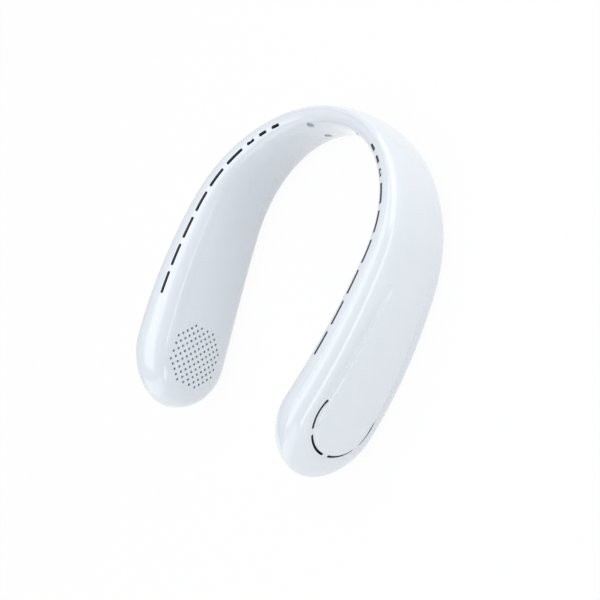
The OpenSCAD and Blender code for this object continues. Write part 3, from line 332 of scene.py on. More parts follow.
class HousingForm:
    """The housing as one surface of station, level and face."""

    def __init__(self, settings):
        self.sizes = sizes = settings.housing
        self.openings = settings.openings
        self.parts = settings.parts
        self.bend_len = sizes.bend_radius * sizes.bend_angle
        self.ease_len = sizes.ease_radius * sizes.ease_angle
        self.half_len = self.bend_len + self.ease_len + sizes.arm_radius * sizes.arm_angle
        self.cap_start = self.half_len - sizes.cap_len
        self.relief_station = self.half_len - self.openings.relief_setback
        self.turn = np.array(Matrix.Rotation(-sizes.rest_pitch, 3, "X"))

        # The offset brings the right blower's middle to its joint in the frame.
        self.offset = np.zeros(3)
        blower = next(joint for joint in frame["joints"] if joint["name"] == "right_impeller_spin")
        fan_station = self.half_len - self.parts.fan_setback
        middle = self.section(fan_station, -self.parts.fan_middle, -self.parts.fan_drop)
        self.offset = np.array(blower["pos_m"]) - middle

    def arcs(self):
        """Radius, start, end and first heading of the path's three arcs."""
        sizes = self.sizes
        turned = sizes.bend_angle + sizes.ease_angle
        eased = self.bend_len + self.ease_len
        return (
            (sizes.bend_radius, 0.0, self.bend_len, 0.0),
            (sizes.ease_radius, self.bend_len, eased, sizes.bend_angle),
            (sizes.arm_radius, eased, np.inf, turned),
        )

    def path(self, c):
        """Place of the path in plan, and its heading."""
        x, y, heading = np.zeros_like(c), np.zeros_like(c), np.zeros_like(c)
        for radius, start, end, turned in self.arcs():
            angle = turned + np.clip(c - start, 0, end - start) / radius
            x = x + radius * (np.sin(angle) - math.sin(turned))
            y = y + radius * (np.cos(angle) - math.cos(turned))
            heading = heading + angle - turned
        return x, y, heading

    def along(self, name, c, end=None):
        """Quartic through the control values of that name, level at the middle of the back."""
        sizes = self.sizes
        places = ("back", "shoulder", "cheek")
        back, shoulder, cheek = (getattr(sizes, f"{place}_{name}") for place in places)
        end = getattr(sizes, f"end_{name}") if end is None else end
        t = c / self.half_len
        u = 1 - t
        first = back * (u**4 + 4 * u**3 * t)
        return first + 6 * shoulder * u**2 * t**2 + 4 * cheek * u * t**3 + end * t**4

    def rise(self, c):
        """Height of the path above its level at the tip."""
        return self.along("rise", c, end=0.0)

    def half_height(self, c):
        """Half height of the section, before the arm's end rounds off."""
        return self.along("height", c) / 2

    def depth(self, c, face):
        """Depth of the section on one face, before the arm's end rounds off."""
        return self.along("outer" if face == OUTSIDE else "inner", c)

    def power(self, face):
        """Exponent of the section on one face."""
        return self.sizes.outer_power if face == OUTSIDE else self.sizes.inner_power

    def cap(self, c, power):
        """How much of the section is left as the arm's end rounds off."""
        gone = np.clip((c - self.cap_start) / self.sizes.cap_len, 0, 1)
        return (1 - gone**power) ** (1 / power)

    def section(self, station, n, z):
        """Points of the section at signed stations, standing on the table."""
        station, n, z = np.broadcast_arrays(np.asarray(station, float), n, z)
        c = np.abs(station)
        x, y, heading = self.path(c)
        lean = self.along("lean", c, end=0.0)
        out = n * np.cos(lean) - z * np.sin(lean)
        up = n * np.sin(lean) + z * np.cos(lean) + self.rise(c)
        side = np.where(station < 0, -1, 1)
        worn = np.stack([side * (x + np.sin(heading) * out), y + np.cos(heading) * out, up], axis=-1)
        return worn @ self.turn.T + self.offset

    def reach(self, c, face, inset=0.0):
        """Depth and height of the skin at a station, with the arm's end rounded off."""
        sizes = self.sizes
        depth = (self.depth(c, face) - inset) * self.cap(c, sizes.cap_depth_power) - sizes.seam / 2
        height = (self.half_height(c) - inset) * self.cap(c, sizes.cap_height_power)
        return np.maximum(depth, 0), height

    def skin(self, station, level, face, inset=0.0):
        """Points of the skin at signed stations and levels."""
        sizes = self.sizes
        c = np.abs(station)
        depth, height = self.reach(c, face, inset)
        bulge = np.clip(1 - np.abs(level) ** sizes.height_power, 0, 1) ** (1 / self.power(face))
        past = (c - self.cap_start) * (sizes.cap_len - inset) / sizes.cap_len
        moved = np.where(c <= self.cap_start, c, self.cap_start + past)
        side = np.where(np.asarray(station) < 0, -1, 1)
        return self.section(side * moved, face * (sizes.seam / 2 + depth * bulge), level * height)

    def patch(self, station, level, face):
        """Points of the outer surface with their outward normals."""
        station, level = np.broadcast_arrays(np.asarray(station, float), level)
        step = 0.02 * MM
        tilt = 2e-4
        smallest = 1e-15
        near = np.clip(level, tilt - 1, 1 - tilt)
        along = self.skin(station + step, level, face) - self.skin(station - step, level, face)
        across = self.skin(station, near + tilt, face) - self.skin(station, near - tilt, face)
        normal = np.cross(along, across)
        normal /= np.maximum(np.linalg.norm(normal, axis=-1, keepdims=True), smallest)
        points = self.skin(station, level, face)
        core = self.section(station, -face * self.sizes.wall, 0 * level)
        normal *= np.where(np.sum(normal * (points - core), axis=-1, keepdims=True) < 0, -1, 1)
        return points, normal

    def relief(self, c, z):
        """Depth of the groove round the raised tongue, at distances along the arm and up."""
        openings = self.openings
        x = c - self.relief_station
        y = z + openings.relief_drop
        back = np.clip(-x / openings.relief_len, 0, 1)
        half = openings.relief_radius - (openings.relief_radius - openings.relief_tail_half) * back**2
        off = np.where(x > 0, np.hypot(x, y) - openings.relief_radius, np.abs(y) - half)
        steep = np.clip(1 + off / openings.relief_steep, 0, 1)
        slope = np.clip(off / openings.relief_slope, 0, 1)
        shape = np.where(off < 0, 2 * steep - steep**2, (1 + np.cos(math.pi * slope)) / 2)
        return openings.relief_depth * shape * np.sqrt(1 - back**2)

    def frame_at(self, c, side, face, x=0.0, z=0.0):
        """Frame on one face: X to the tip, Y up, Z out of the face, mirrored on the left arm."""
        c = np.float64(c)
        heading = float(self.path(c)[2])
        lean = float(self.along("lean", c, end=0.0))
        mirror = Matrix.Diagonal((side, 1, 1))
        worn = Matrix.Rotation(-heading, 3, "Z") @ Matrix.Rotation(lean, 3, "X")
        turned = (Matrix(self.turn.tolist()) @ mirror @ worn).to_4x4()
        axes = Matrix(((1, 0, 0, x), (0, 0, face, 0), (0, 1, 0, z), (0, 0, 0, 1)))
        return Matrix.Translation(Vector(self.section(side * c, 0.0, 0.0))) @ turned @ axes


def new_object(name, points, faces, materials, face_material=0):
    """A mesh object from points and faces, with its faces turned outwards."""
    mesh = bpy.data.meshes.new(name)
    mesh.from_pydata(np.asarray(points).tolist(), [], faces)
    for material in materials:
        mesh.materials.append(material)
    indices = np.ascontiguousarray(np.broadcast_to(face_material, (len(mesh.polygons),)), np.int32)
    mesh.polygons.foreach_set("material_index", indices)
    mesh.update()
    turn_outwards(mesh)
    piece = bpy.data.objects.new(name, mesh)
    bpy.context.scene.collection.objects.link(piece)
    return piece


def turn_outwards(mesh):
    """Flips a closed mesh whose faces look inwards."""
    points = np.empty(len(mesh.vertices) * 3, np.float32)
    mesh.vertices.foreach_get("co", points)
    points = points.reshape(-1, 3).astype(float)
    mesh.calc_loop_triangles()
    corners = np.empty(len(mesh.loop_triangles) * 3, np.int32)
    mesh.loop_triangles.foreach_get("vertices", corners)
    a, b, c = points[corners.reshape(-1, 3)].transpose(1, 0, 2)
    if np.einsum("ij,ij->", a, np.cross(b, c)) < 0:
        mesh.flip_normals()


def smooth(piece, degrees=32):
    """Smooth shading with creases at sharp edges."""
    piece.data.shade_smooth()
    piece.data.set_sharp_from_angle(angle=math.radians(degrees))


def fit(piece, body, slot_name, *nodes):
    """Rides a piece on its body and hides the nodes that it stands for; the name of its finish is not
    used.
    """
    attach(piece, body)
    if nodes:
        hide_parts(*nodes)


def cut(piece, cutter, operation="DIFFERENCE"):
    """Cuts a piece with a closed cutter, which gives the cut faces its material and is removed."""
    modifier = piece.modifiers.new("cut", "BOOLEAN")
    modifier.object = cutter
    modifier.operation = operation
    modifier.solver = "MANIFOLD"
    modifier.material_mode = "TRANSFER"
    before = len(piece.data.polygons)
    graph = bpy.context.evaluated_depsgraph_get()
    result = bpy.data.meshes.new_from_object(piece.evaluated_get(graph))
    piece.modifiers.clear()
    if len(result.polygons) in (0, before):
        raise RuntimeError(f"{cutter.name} didn't cut {piece.name}")
    old = piece.data
    piece.data = result
    bpy.data.meshes.remove(old)
    bpy.data.objects.remove(cutter)


class Solids:
    """Gathers closed solids into one mesh."""

    def __init__(self):
        self.points = []
        self.faces = []
        self.bands = []

    def loft(self, rings):
        """A closed solid through rings of equally many points, with its ends closed."""
        rings = np.asarray(rings, float)
        levels, around = rings.shape[:2]
        first = len(self.points)
        ring = np.arange(around)
        following = (ring + 1) % around
        base = first + around * np.arange(levels - 1)[:, None]
        corners = [base + ring, base + following, base + following + around, base + ring + around]
        faces = np.stack(corners, axis=-1).reshape(-1, 4).tolist()
        faces.append((first + ring[::-1]).tolist())
        faces.append((first + (levels - 1) * around + ring).tolist())
        area = np.cross(rings[0], np.roll(rings[0], -1, axis=0)).sum(0)
        if area @ (rings[-1].mean(0) - rings[0].mean(0)) < 0:
            faces = [face[::-1] for face in faces]
        self.points.extend(rings.reshape(-1, 3))
        self.faces.extend(faces)
        self.bands.extend([*np.repeat(np.arange(levels - 1), around), 0, levels - 2])

    def build(self, name, *materials):
        """The solids as one object. Each band of a loft takes a material, the last one for the rest."""
        bands = np.minimum(self.bands, len(materials) - 1)
        return new_object(name, self.points, self.faces, materials, bands)


def placed(matrix, outline, height):
    """Points of an outline in a frame, at one height or at a height for each point."""
    outline = np.asarray(outline, float)
    local = np.column_stack([outline, np.broadcast_to(height, (len(outline),)), np.ones(len(outline))])
    return (local @ np.array(matrix).T)[:, :3]


def rectangle(low, high):
    """Corners of a rectangle from its lowest and highest corner."""
    return np.array([(low[0], low[1]), (high[0], low[1]), (high[0], high[1]), (low[0], high[1])])


def circle(radius, sides=24, middle=(0, 0)):
    """Points of a circle."""
    angles = np.linspace(0, math.tau, sides, endpoint=False)
    return radius * np.column_stack([np.cos(angles), np.sin(angles)]) + np.asarray(middle)


def stadium(span, width, steps=10, side_points=12):
    """Outline of a slot with round ends, lying along the first axis."""
    turns = np.linspace(-math.pi / 2, math.pi / 2, steps + 1)
    end = width / 2 * np.column_stack([np.cos(turns), np.sin(turns)])
    straight = (span - width) / 2
    across = np.linspace(straight, -straight, side_points + 2)[1:-1]
    upper = np.column_stack([across, np.full(side_points, width / 2)])
    return np.concatenate([end + [straight, 0], upper, -end - [straight, 0], -upper])


def arc_slot(radius, width, start, end, steps=28, end_steps=9):
    """Outline of a slot that follows an arc, with round ends."""
    angles = np.linspace(start, end, steps + 1)
    ray = np.column_stack([np.cos(angles), np.sin(angles)])
    ends = []
    for angle, sign in ((end, 1), (start, -1)):
        turns = angle + sign * np.linspace(0, math.pi, end_steps + 1)[1:-1]
        middle = radius * np.array([math.cos(angle), math.sin(angle)])
        ends.append(middle + width / 2 * np.column_stack([np.cos(turns), np.sin(turns)]))
    outer = (radius + width / 2) * ray
    inner = (radius - width / 2) * ray[::-1]
    return np.concatenate([outer, ends[0], inner, ends[1][::-1]])


def lathe(solids, matrix, profile, sides):
    """A turned solid about the frame's Z axis: the profile holds radii and heights."""
    solids.loft([placed(matrix, circle(radius, sides), height) for radius, height in profile])


def prism(solids, matrix, outline, heights):
    """A straight solid of one outline between two heights."""
    solids.loft([placed(matrix, outline, height) for height in heights])


def round_ended(solids, matrix, width, thickness, profile):
    """A solid with round-ended sections: the profile holds their insets and heights."""
    rings = []
    for inset, height in profile:
        outline = stadium(width - 2 * inset, thickness - 2 * inset)
        rings.append(placed(matrix, outline, height))
    solids.loft(rings)


class ShellHalf:
    """Mesh of one half of the housing, before its openings are cut."""

    SKIN_COLUMNS = {OUTSIDE: 232, NECK_SIDE: 128}
    WALL_COLUMNS = 28
    BEND_ROWS = 90
    ARM_ROWS = 220
    CAP_ROWS = 90

    def __init__(self, form, face):
        self.form = form
        self.face = face
        self.rim = face * form.sizes.seam / 2
        self.stations = self.rows()
        outer = self.skin_grid(self.SKIN_COLUMNS[face])
        inner = self.wall_grid(self.WALL_COLUMNS)
        self.join(outer, inner)
        self.tree = BVHTree.FromPolygons(self.points.tolist(), self.skin_faces)

    def rows(self):
        """Signed stations of the rows, finer along the arms than behind the neck."""
        form = self.form
        plain = form.relief_station - form.openings.relief_len
        bend = np.linspace(0, plain, self.BEND_ROWS, endpoint=False)
        arm = np.linspace(plain, form.cap_start, self.ARM_ROWS, endpoint=False)
        turns = np.linspace(0, math.pi / 2, self.CAP_ROWS, endpoint=False)
        cap = form.cap_start + form.sizes.cap_len * np.sin(turns)
        side = np.concatenate([bend, arm, cap])
        return np.concatenate([-side[:0:-1], side])

    def skin_grid(self, columns):
        """Outer surface with its relief, ending at the eased rim."""
        form, sizes = self.form, self.form.sizes
        c = np.abs(self.stations)
        depth, height = form.reach(c, self.face)
        rounding = np.minimum(0.5, sizes.rim_round / np.maximum(depth, sizes.seam))
        last_angle = np.arccos(rounding ** (form.power(self.face) / 2))[:, None]
        sine = np.sin(last_angle * np.linspace(-1, 1, columns))
        level = np.sign(sine) * np.abs(sine) ** (2 / sizes.height_power)
        points, normals = form.patch(self.stations[:, None], level, self.face)
        if self.face == OUTSIDE:
            points = points - normals * form.relief(c[:, None], level * height[:, None])[..., None]
        edge = height - np.minimum(sizes.rim_drop, height / 10)
        low, high = (form.section(self.stations, self.rim, way * edge) for way in (-1, 1))
        return np.concatenate([low[:, None], points, high[:, None]], axis=1)

    def wall_grid(self, columns):
        """Inner surface of the wall."""
        sine = np.sin(np.linspace(-math.pi / 2, math.pi / 2, columns))
        level = np.sign(sine) * np.abs(sine) ** (2 / self.form.sizes.height_power)
        return self.form.skin(self.stations[:, None], level, self.face, self.form.sizes.wall)

    def join(self, outer, inner):
        """Joins both surfaces along the rims and at the tips."""
        form = self.form
        rows, width, inner_width = len(self.stations), outer.shape[1], inner.shape[1]
        first_inner = rows * width
        tips = first_inner + rows * inner_width
        ends = [side * (form.half_len - inset) for side in (-1, 1) for inset in (0, form.sizes.wall)]
        poles = [form.section(end, self.rim, 0.0) for end in ends]
        self.points = np.concatenate([outer.reshape(-1, 3), inner.reshape(-1, 3), poles])
        index = np.arange(first_inner).reshape(rows, width)
        inner_index = np.arange(first_inner, tips).reshape(rows, inner_width)

        def quads(grid):
            corners = [grid[:-1, :-1], grid[1:, :-1], grid[1:, 1:], grid[:-1, 1:]]
            return np.stack(corners, axis=-1).reshape(-1, 4)

        self.skin_faces = quads(index).tolist()
        rims = quads(np.column_stack([inner_index[:, 0], index[:, 0]])).tolist()
        rims += quads(np.column_stack([index[:, -1], inner_index[:, -1]])).tolist()
        inside = quads(inner_index)[:, ::-1].tolist()
        for row, pole, way in ((0, tips, -1), (rows - 1, tips + 2, 1)):
            edge, inner_edge = index[row].tolist(), inner_index[row].tolist()
            outer_fan = [(pole, b, a) for a, b in zip(edge[:-1], edge[1:], strict=True)]
            inner_fan = [(pole + 1, a, b) for a, b in zip(inner_edge[:-1], inner_edge[1:], strict=True)]
            low_end = (pole, edge[0], inner_edge[0], pole + 1)
            high_end = (pole, pole + 1, inner_edge[-1], edge[-1])
            rims += [face[::way] for face in (*outer_fan, low_end, high_end)]
            inside += [face[::way] for face in inner_fan]
        self.faces = self.skin_faces + rims + inside
        self.inside_from = len(self.skin_faces) + len(rims)

    def build(self, name):
        """The uncut half as an object with a gloss outside and a dull inside, painted dark grey as
        painted shade.
        """
        face_material = np.zeros(len(self.faces), int)
        face_material[self.inside_from :] = 1
        materials = [slot_material("shell_white"), inside_painted_shade_material()]
        return new_object(name, self.points, self.faces, materials, face_material)


def land(tree, matrix, outline):
    """Heights in a frame at which lines along its Z axis meet a surface from outside."""
    down = -matrix.col[2].to_3d()
    start = 60 * MM
    heights = []
    for point in placed(matrix, outline, start):
        distance = tree.ray_cast(Vector(point), down)[3]
        if distance is None:
            raise RuntimeError("an opening's outline misses the skin")
        heights.append(start - distance)
    return np.array(heights)


def mouth_rings(openings, depth):
    """Growth and lift of a cutter's rings: above the skin, under the eased lip and at its depth."""
    return ((openings.lip + CUTTER_LIFT, CUTTER_LIFT), (0, -openings.lip), (0, -depth))


def round_hole(radius, sides=24, middle=(0, 0), fineness=1):
    """Outline of a round hole for a growth, which its fineness divides."""
    return lambda growth: circle(radius + growth / fineness, sides, middle)


def drill(solids, half, matrix, outline_at):
    """A cutter with an eased mouth, square to a frame. outline_at gives the outline for a growth."""
    rings = []
    for growth, lift in mouth_rings(half.form.openings, 2 * half.form.sizes.wall):
        outline = outline_at(growth)
        rings.append(placed(matrix, outline, land(half.tree, matrix, outline) + lift))
    solids.loft(rings)


def slot_cutter(form):
    """Cutter of the outlet slots, each square to the skin along its whole length."""
    openings, sizes = form.openings, form.sizes
    level = math.sin(math.pi / 2 - openings.slot_lean) ** (2 / sizes.height_power)
    tilt = 1e-3
    solids = Solids()
    for side in SIDES.values():
        for end, span in slot_ends(form):
            middle = end - span / 2
            low, high = (form.skin(middle, level + way * tilt, NECK_SIDE) for way in (-1, 1))
            level_per_length = 2 * tilt / np.linalg.norm(high - low)
            rings = []
            for growth, lift in mouth_rings(openings, 1.5 * sizes.wall):
                outline = stadium(span + 2 * growth, openings.slot_width + 2 * growth)
                station = side * (middle + outline[:, 0])
                levels = level + outline[:, 1] * level_per_length
                points, normals = form.patch(station, levels, NECK_SIDE)
                rings.append(points + normals * lift)
            solids.loft(rings)
    # The slots' eased lips keep the white gloss and their walls take the painted shade.
    return solids.build("slot_cutter", slot_material("shell_white"), opening_painted_shade_material())


def slot_ends(form):
    """Stations of the ends of each arm's slots, with their lengths."""
    openings = form.openings
    long_len, short_len = openings.long_slot_len, openings.short_slot_len
    long_pitch, short_pitch = openings.long_slot_pitch, openings.short_slot_pitch
    first = form.half_len - openings.slot_setback
    long_row = [(first - i * long_pitch, long_len) for i in range(openings.long_slots)]
    gap = short_pitch - short_len
    last = first - (openings.long_slots - 1) * long_pitch - long_len - gap
    return long_row + [(last - i * short_pitch, short_len) for i in range(openings.short_slots)]


def grille_places(openings):
    """Places of the grille's holes on a square grid set on its corner."""
    row = openings.grille_pitch / math.sqrt(2)
    rows = range(-openings.grille_rows, openings.grille_rows + 1)
    field = [(i, j) for i in rows for j in rows if (i + j) % 2 == 0]
    return [(i * row, j * row) for i, j in field if abs(i) + abs(j) <= openings.grille_corner]


def grille_plug(form, side, radius, name):
    """Cylinder through the neck side at a grille."""
    matrix = form.frame_at(form.half_len - form.openings.grille_setback, side, NECK_SIDE)
    solids = Solids()
    reach = form.sizes.end_inner + form.sizes.wall
    lathe(solids, matrix, ((radius, 0), (radius, reach)), sides=160)
    return solids.build(name, slot_material("shell_white"))


def table_cutter():
    """Slab below the table, which cuts the flats that the arms stand on."""
    overreach = 1.1
    thickness = 5 * MM
    corners = rectangle(*CAD_BOUNDS) * overreach
    solids = Solids()
    prism(solids, Matrix.Identity(4), corners, (-thickness, 0))
    return solids.build("table_cutter", slot_material("shell_white"))


def socket_frame(form):
    """Frame of the charging socket: X along the arm, Y outwards, Z up from its mouth."""
    parts = form.parts
    board = form.half_len - parts.board_setback
    socket_x = parts.socket_width - parts.board_len / 2
    half = parts.socket_width / 2

    def low_edge(c):
        return float(form.rise(c) - form.half_height(c))

    mouth = low_edge(board + socket_x) - float(form.rise(board)) + parts.socket_depth
    tilt = math.atan2(low_edge(board + socket_x - half) - low_edge(board + socket_x + half), 2 * half)
    upright = Matrix(((1, 0, 0, 0), (0, 0, 1, 0), (0, 1, 0, 0), (0, 0, 0, 1)))
    base = form.frame_at(board, SIDES["left"], OUTSIDE, socket_x, mouth)
    return base @ upright @ Matrix.Rotation(tilt, 4, "Y")


def socket_cutter(form):
    """Cutter of the port in the lower edge of the left arm."""
    parts = form.parts
    gaps = 2 * parts.seat_gap
    outline = stadium(parts.socket_width + gaps, parts.socket_thick + gaps)
    reach = 2 * form.sizes.wall
    solids = Solids()
    prism(solids, socket_frame(form), outline, (-reach, reach))
    return solids.build("socket_cutter", slot_material("shell_white"))


def button_frame(form):
    """Frame of the power button on the left arm's outer face, square to the board."""
    parts = form.parts
    board = form.half_len - parts.board_setback
    button_x = parts.board_setback - parts.button_setback
    return form.frame_at(board, SIDES["left"], OUTSIDE, button_x, -form.openings.relief_drop)


def light_places(parts):
    """Places of the indicator lights along the board, from the button's middle."""
    first = -parts.button_radius - 2 * parts.flange_wide - parts.light_pitch
    return [(first - i * parts.light_pitch, 0) for i in range(parts.light_count)]


def plug_frames(form):
    """Frames of the four band screws' plugs."""
    parts = form.parts
    places = [(side, z) for side in SIDES.values() for z in (parts.plug_high, -parts.plug_low)]
    return [form.frame_at(parts.plug_station, side, NECK_SIDE, 0, z) for side, z in places]


def surface_group(name, wanted, outline):
    """A node group of that name with Colour, Roughness and Height outputs, built once."""
    group = bpy.data.node_groups.get(name)
    if group:
        return group
    group = bpy.data.node_groups.new(name, "ShaderNodeTree")
    kinds = {"Colour": "NodeSocketColor", "Stretch": "NodeSocketVector"}
    for labels, way in ((wanted, "INPUT"), (("Colour", "Roughness", "Height"), "OUTPUT")):
        for label in labels:
            kind = kinds.get(label, "NodeSocketFloat")
            group.interface.new_socket(label, in_out=way, socket_type=kind)
    given = group.nodes.new("NodeGroupInput")
    result = group.nodes.new("NodeGroupOutput")
    outline(group, given.outputs, result.inputs)
    return group


def math_node(tree, operation, *values):
    """The output of a math node whose inputs are sockets or numbers."""
    node = tree.nodes.new("ShaderNodeMath")
    node.operation = operation
    for i, value in enumerate(values):
        if isinstance(value, bpy.types.NodeSocket):
            tree.links.new(value, node.inputs[i])
        else:
            node.inputs[i].default_value = value
    return node.outputs[0]


def noise(tree, vector, size, detail):
    """The output of a noise texture with patches of that size."""
    node = tree.nodes.new("ShaderNodeTexNoise")
    node.inputs["Detail"].default_value = detail
    tree.links.new(vector, node.inputs["Vector"])
    tree.links.new(math_node(tree, "DIVIDE", 1.0, size), node.inputs["Scale"])
    return node.outputs["Fac"]


def shade(tree, given, result, patches, grain):
    """Varies the colour and roughness by patches, and sends the grain to the height."""

    # The swing turns the patches' 0 to 1 into -1 to 1.
    swing = math_node(tree, "MULTIPLY_ADD", patches, 2.0, -1.0)
    tone = tree.nodes.new("ShaderNodeHueSaturation")
    tree.links.new(given["Colour"], tone.inputs["Color"])
    value = math_node(tree, "MULTIPLY_ADD", swing, given["Shade spread"], 1.0)
    tree.links.new(value, tone.inputs["Value"])
    tree.links.new(tone.outputs["Color"], result["Colour"])
    roughness = math_node(tree, "MULTIPLY_ADD", swing, given["Roughness spread"], given["Roughness"])
    tree.links.new(roughness, result["Roughness"])
    tree.links.new(grain, result["Height"])


def moulded_group():
    """Moulded or sheathed surface: slow changes of tone and gloss, with a fine even grain."""

    def outline(tree, given, result):
        place = tree.nodes.new("ShaderNodeTexCoord").outputs["Object"]
        patches = noise(tree, place, given["Patch size"], detail=2.0)
        grain = noise(tree, place, given["Grain size"], detail=1.0)
        shade(tree, given, result, patches, grain)

    wanted = ("Colour", "Shade spread", "Roughness", "Roughness spread", "Patch size", "Grain size")
    return surface_group("Moulded surface", wanted, outline)


def drawn_group():
    """Drawn, turned or wound metal: fine lines along one direction."""

    def outline(tree, given, result):
        stretch = tree.nodes.new("ShaderNodeVectorMath")
        stretch.operation = "MULTIPLY"
        tree.links.new(tree.nodes.new("ShaderNodeTexCoord").outputs["Object"], stretch.inputs[0])
        tree.links.new(given["Stretch"], stretch.inputs[1])
        lines = noise(tree, stretch.outputs["Vector"], given["Grain size"], detail=3.0)
        shade(tree, given, result, lines, lines)

    wanted = ("Colour", "Shade spread", "Roughness", "Roughness spread", "Stretch", "Grain size")
    return surface_group("Drawn metal", wanted, outline)


def finish_material(name, group, base, roughness, values, shader_values=(), bump=0.1):
    """A material whose colour, roughness and fine relief come from a surface group."""
    material = bpy.data.materials.get(name)
    if material:
        return material
    material = bpy.data.materials.new(name)
    material.use_nodes = True
    tree = material.node_tree
    shader = tree.nodes["Principled BSDF"]
    for label, value in dict(shader_values).items():
        shader.inputs[label].default_value = value
    surface = tree.nodes.new("ShaderNodeGroup")
    surface.node_tree = group
    surface.inputs["Colour"].default_value = (*base, 1)
    surface.inputs["Roughness"].default_value = roughness
    for label, value in values.items():
        surface.inputs[label].default_value = value
    relief = tree.nodes.new("ShaderNodeBump")
    relief.inputs["Strength"].default_value = bump
    relief.inputs["Distance"].default_value = 0.1 * MM
    tree.links.new(surface.outputs["Height"], relief.inputs["Height"])
    tree.links.new(surface.outputs["Colour"], shader.inputs["Base Color"])
    tree.links.new(surface.outputs["Roughness"], shader.inputs["Roughness"])
    tree.links.new(relief.outputs["Normal"], shader.inputs["Normal"])
    return material


def moulded(name, base, roughness, spread=0.02, grain=0.3, patch=18.0, bump=0.1, **shader_values):
    """A moulded finish, with sizes in millimetres."""
    labels = {
        "coat": "Coat Weight",
        "coat_roughness": "Coat Roughness",
        "subsurface": "Subsurface Weight",
    }
    values = {
        "Shade spread": spread,
        "Roughness spread": roughness / 6,
        "Patch size": patch * MM,
        "Grain size": grain * MM,
    }
    named = {labels[key]: value for key, value in shader_values.items()}
    return finish_material(name, moulded_group(), base, roughness, values, named, bump)


def metal(name, base, roughness, stretch=(1.0, 1.0, 1.0), spread=0.08, grain=0.2, bump=0.1):
    """A metal finish, with the grain size in millimetres and its fineness along each axis."""
    values = {
        "Shade spread": spread,
        "Roughness spread": roughness / 3,
        "Stretch": stretch,
        "Grain size": grain * MM,
    }
    return finish_material(name, drawn_group(), base, roughness, values, {"Metallic": 1.0}, bump)


def shell_white(finish):
    """Moulded white gloss under a polished coat."""
    polish = {"coat": 1.0, "coat_roughness": finish.coat_roughness}
    return moulded("White gloss", finish.shell, finish.shell_roughness, grain=1.4, bump=0.01, **polish)


def fan_housing_grey(finish):
    """Dull dark grey of the blower housings."""
    return moulded("Blower housing grey", finish.housing_grey, 0.55, spread=0.06, grain=0.12, bump=0.3)


def impeller_white(finish):
    """Half-dull white of the impellers."""
    return moulded("Impeller white", finish.impeller, 0.42, grain=0.2, bump=0.15)


def steel(finish):
    """Plated steel, with fine lines square to Z."""
    return metal("Plated steel", finish.steel, 0.28, stretch=(1.0, 1.0, 12.0))


def magnet(finish):
    """Bonded ferrite, dark and mottled."""
    return moulded("Bonded ferrite", finish.magnet, 0.6, spread=0.15, grain=0.06, bump=0.5)


def bronze(finish):
    """Sintered bronze with an even grain."""
    return metal("Sintered bronze", finish.bronze, 0.5, spread=0.25, grain=0.08, bump=0.5)


def copper_wire(finish):
    """Enamelled wire, in fine lines square to Y."""
    winding = {"stretch": (1.0, 6.0, 1.0), "spread": 0.2, "grain": 0.25, "bump": 0.6}
    return metal("Enamelled wire", finish.copper, 0.3, **winding)


def cell_pouch(finish):
    """Laminate film with soft dents."""
    return metal("Laminate film", finish.pouch, 0.35, spread=0.05, grain=2.5, bump=0.25)


def foam(finish):
    """Rough dark foam and cable sheath."""
    return moulded("Foam and sheath", finish.foam, 0.9, spread=0.3, grain=0.25, patch=1.5, bump=0.9)


def board_green(finish):
    """Glossy green solder mask."""
    return moulded("Solder mask", finish.board, 0.3, spread=0.25, grain=0.6, patch=1.2, bump=0.15)


def light_guide(finish):
    """Milky light guide, lit a little below its surface."""
    return moulded("Light guide", finish.guide, 0.18, grain=0.5, bump=0.02, subsurface=0.4)


SLOT_FINISHES = {
    "shell_white": shell_white,
    "fan_housing_grey": fan_housing_grey,
    "impeller_white": impeller_white,
    "steel": steel,
    "magnet": magnet,
    "bronze": bronze,
    "copper_wire": copper_wire,
    "cell_pouch": cell_pouch,
    "foam": foam,
    "board_green": board_green,
    "light_guide": light_guide,
}


def slot_material(slot_name):
    """The procedural material of one of the record's slots."""
    return SLOT_FINISHES[slot_name](bpy.context.scene.neck_fan.finish)


def inside_painted_shade_material():
    """Painted shade: the dull inner faces of the shells in a dark grey that stands in for the shade
    inside the housing.
    """
    finish = bpy.context.scene.neck_fan.finish
    return moulded("Inner face", finish.inside, 0.7, spread=0.05, grain=0.15, bump=0.3)


def opening_painted_shade_material():
    """Painted shade on the walls of the slots and holes: a dark grey that stands in for the shade
    inside them.
    """
    finish = bpy.context.scene.neck_fan.finish
    return moulded("Opening wall", finish.opening, 0.6, spread=0.05, grain=0.15, bump=0.1)


def plug_painted_shade_material():
    """The plugs over the band screws, in a soft grey that is painted shade for their shallow recesses.
    """
    finish = bpy.context.scene.neck_fan.finish
    return moulded("Plug grey", finish.plug, 0.5, spread=0.03, grain=0.3, bump=0.1)


def contact_material():
    """The gold-plated contacts of the charging socket."""
    finish = bpy.context.scene.neck_fan.finish
    return metal("Gold plating", finish.gold, 0.25, stretch=(1.0, 1.0, 8.0))


def current_form():
    """The housing's form from the scene's settings."""
    return HousingForm(bpy.context.scene.neck_fan)


class NECKFAN_OT_finishes(bpy.types.Operator):
    """Give every carried-over piece its procedural finish"""

    bl_idname = "neck_fan.finishes"
    bl_label = "Finishes"
    bl_options = {"REGISTER", "UNDO"}

    def execute(self, context):
        for node in frame["nodes"].values():
            for slot in node.material_slots:
                slot.material = slot_material(slot.material.name)
        return {"FINISHED"}


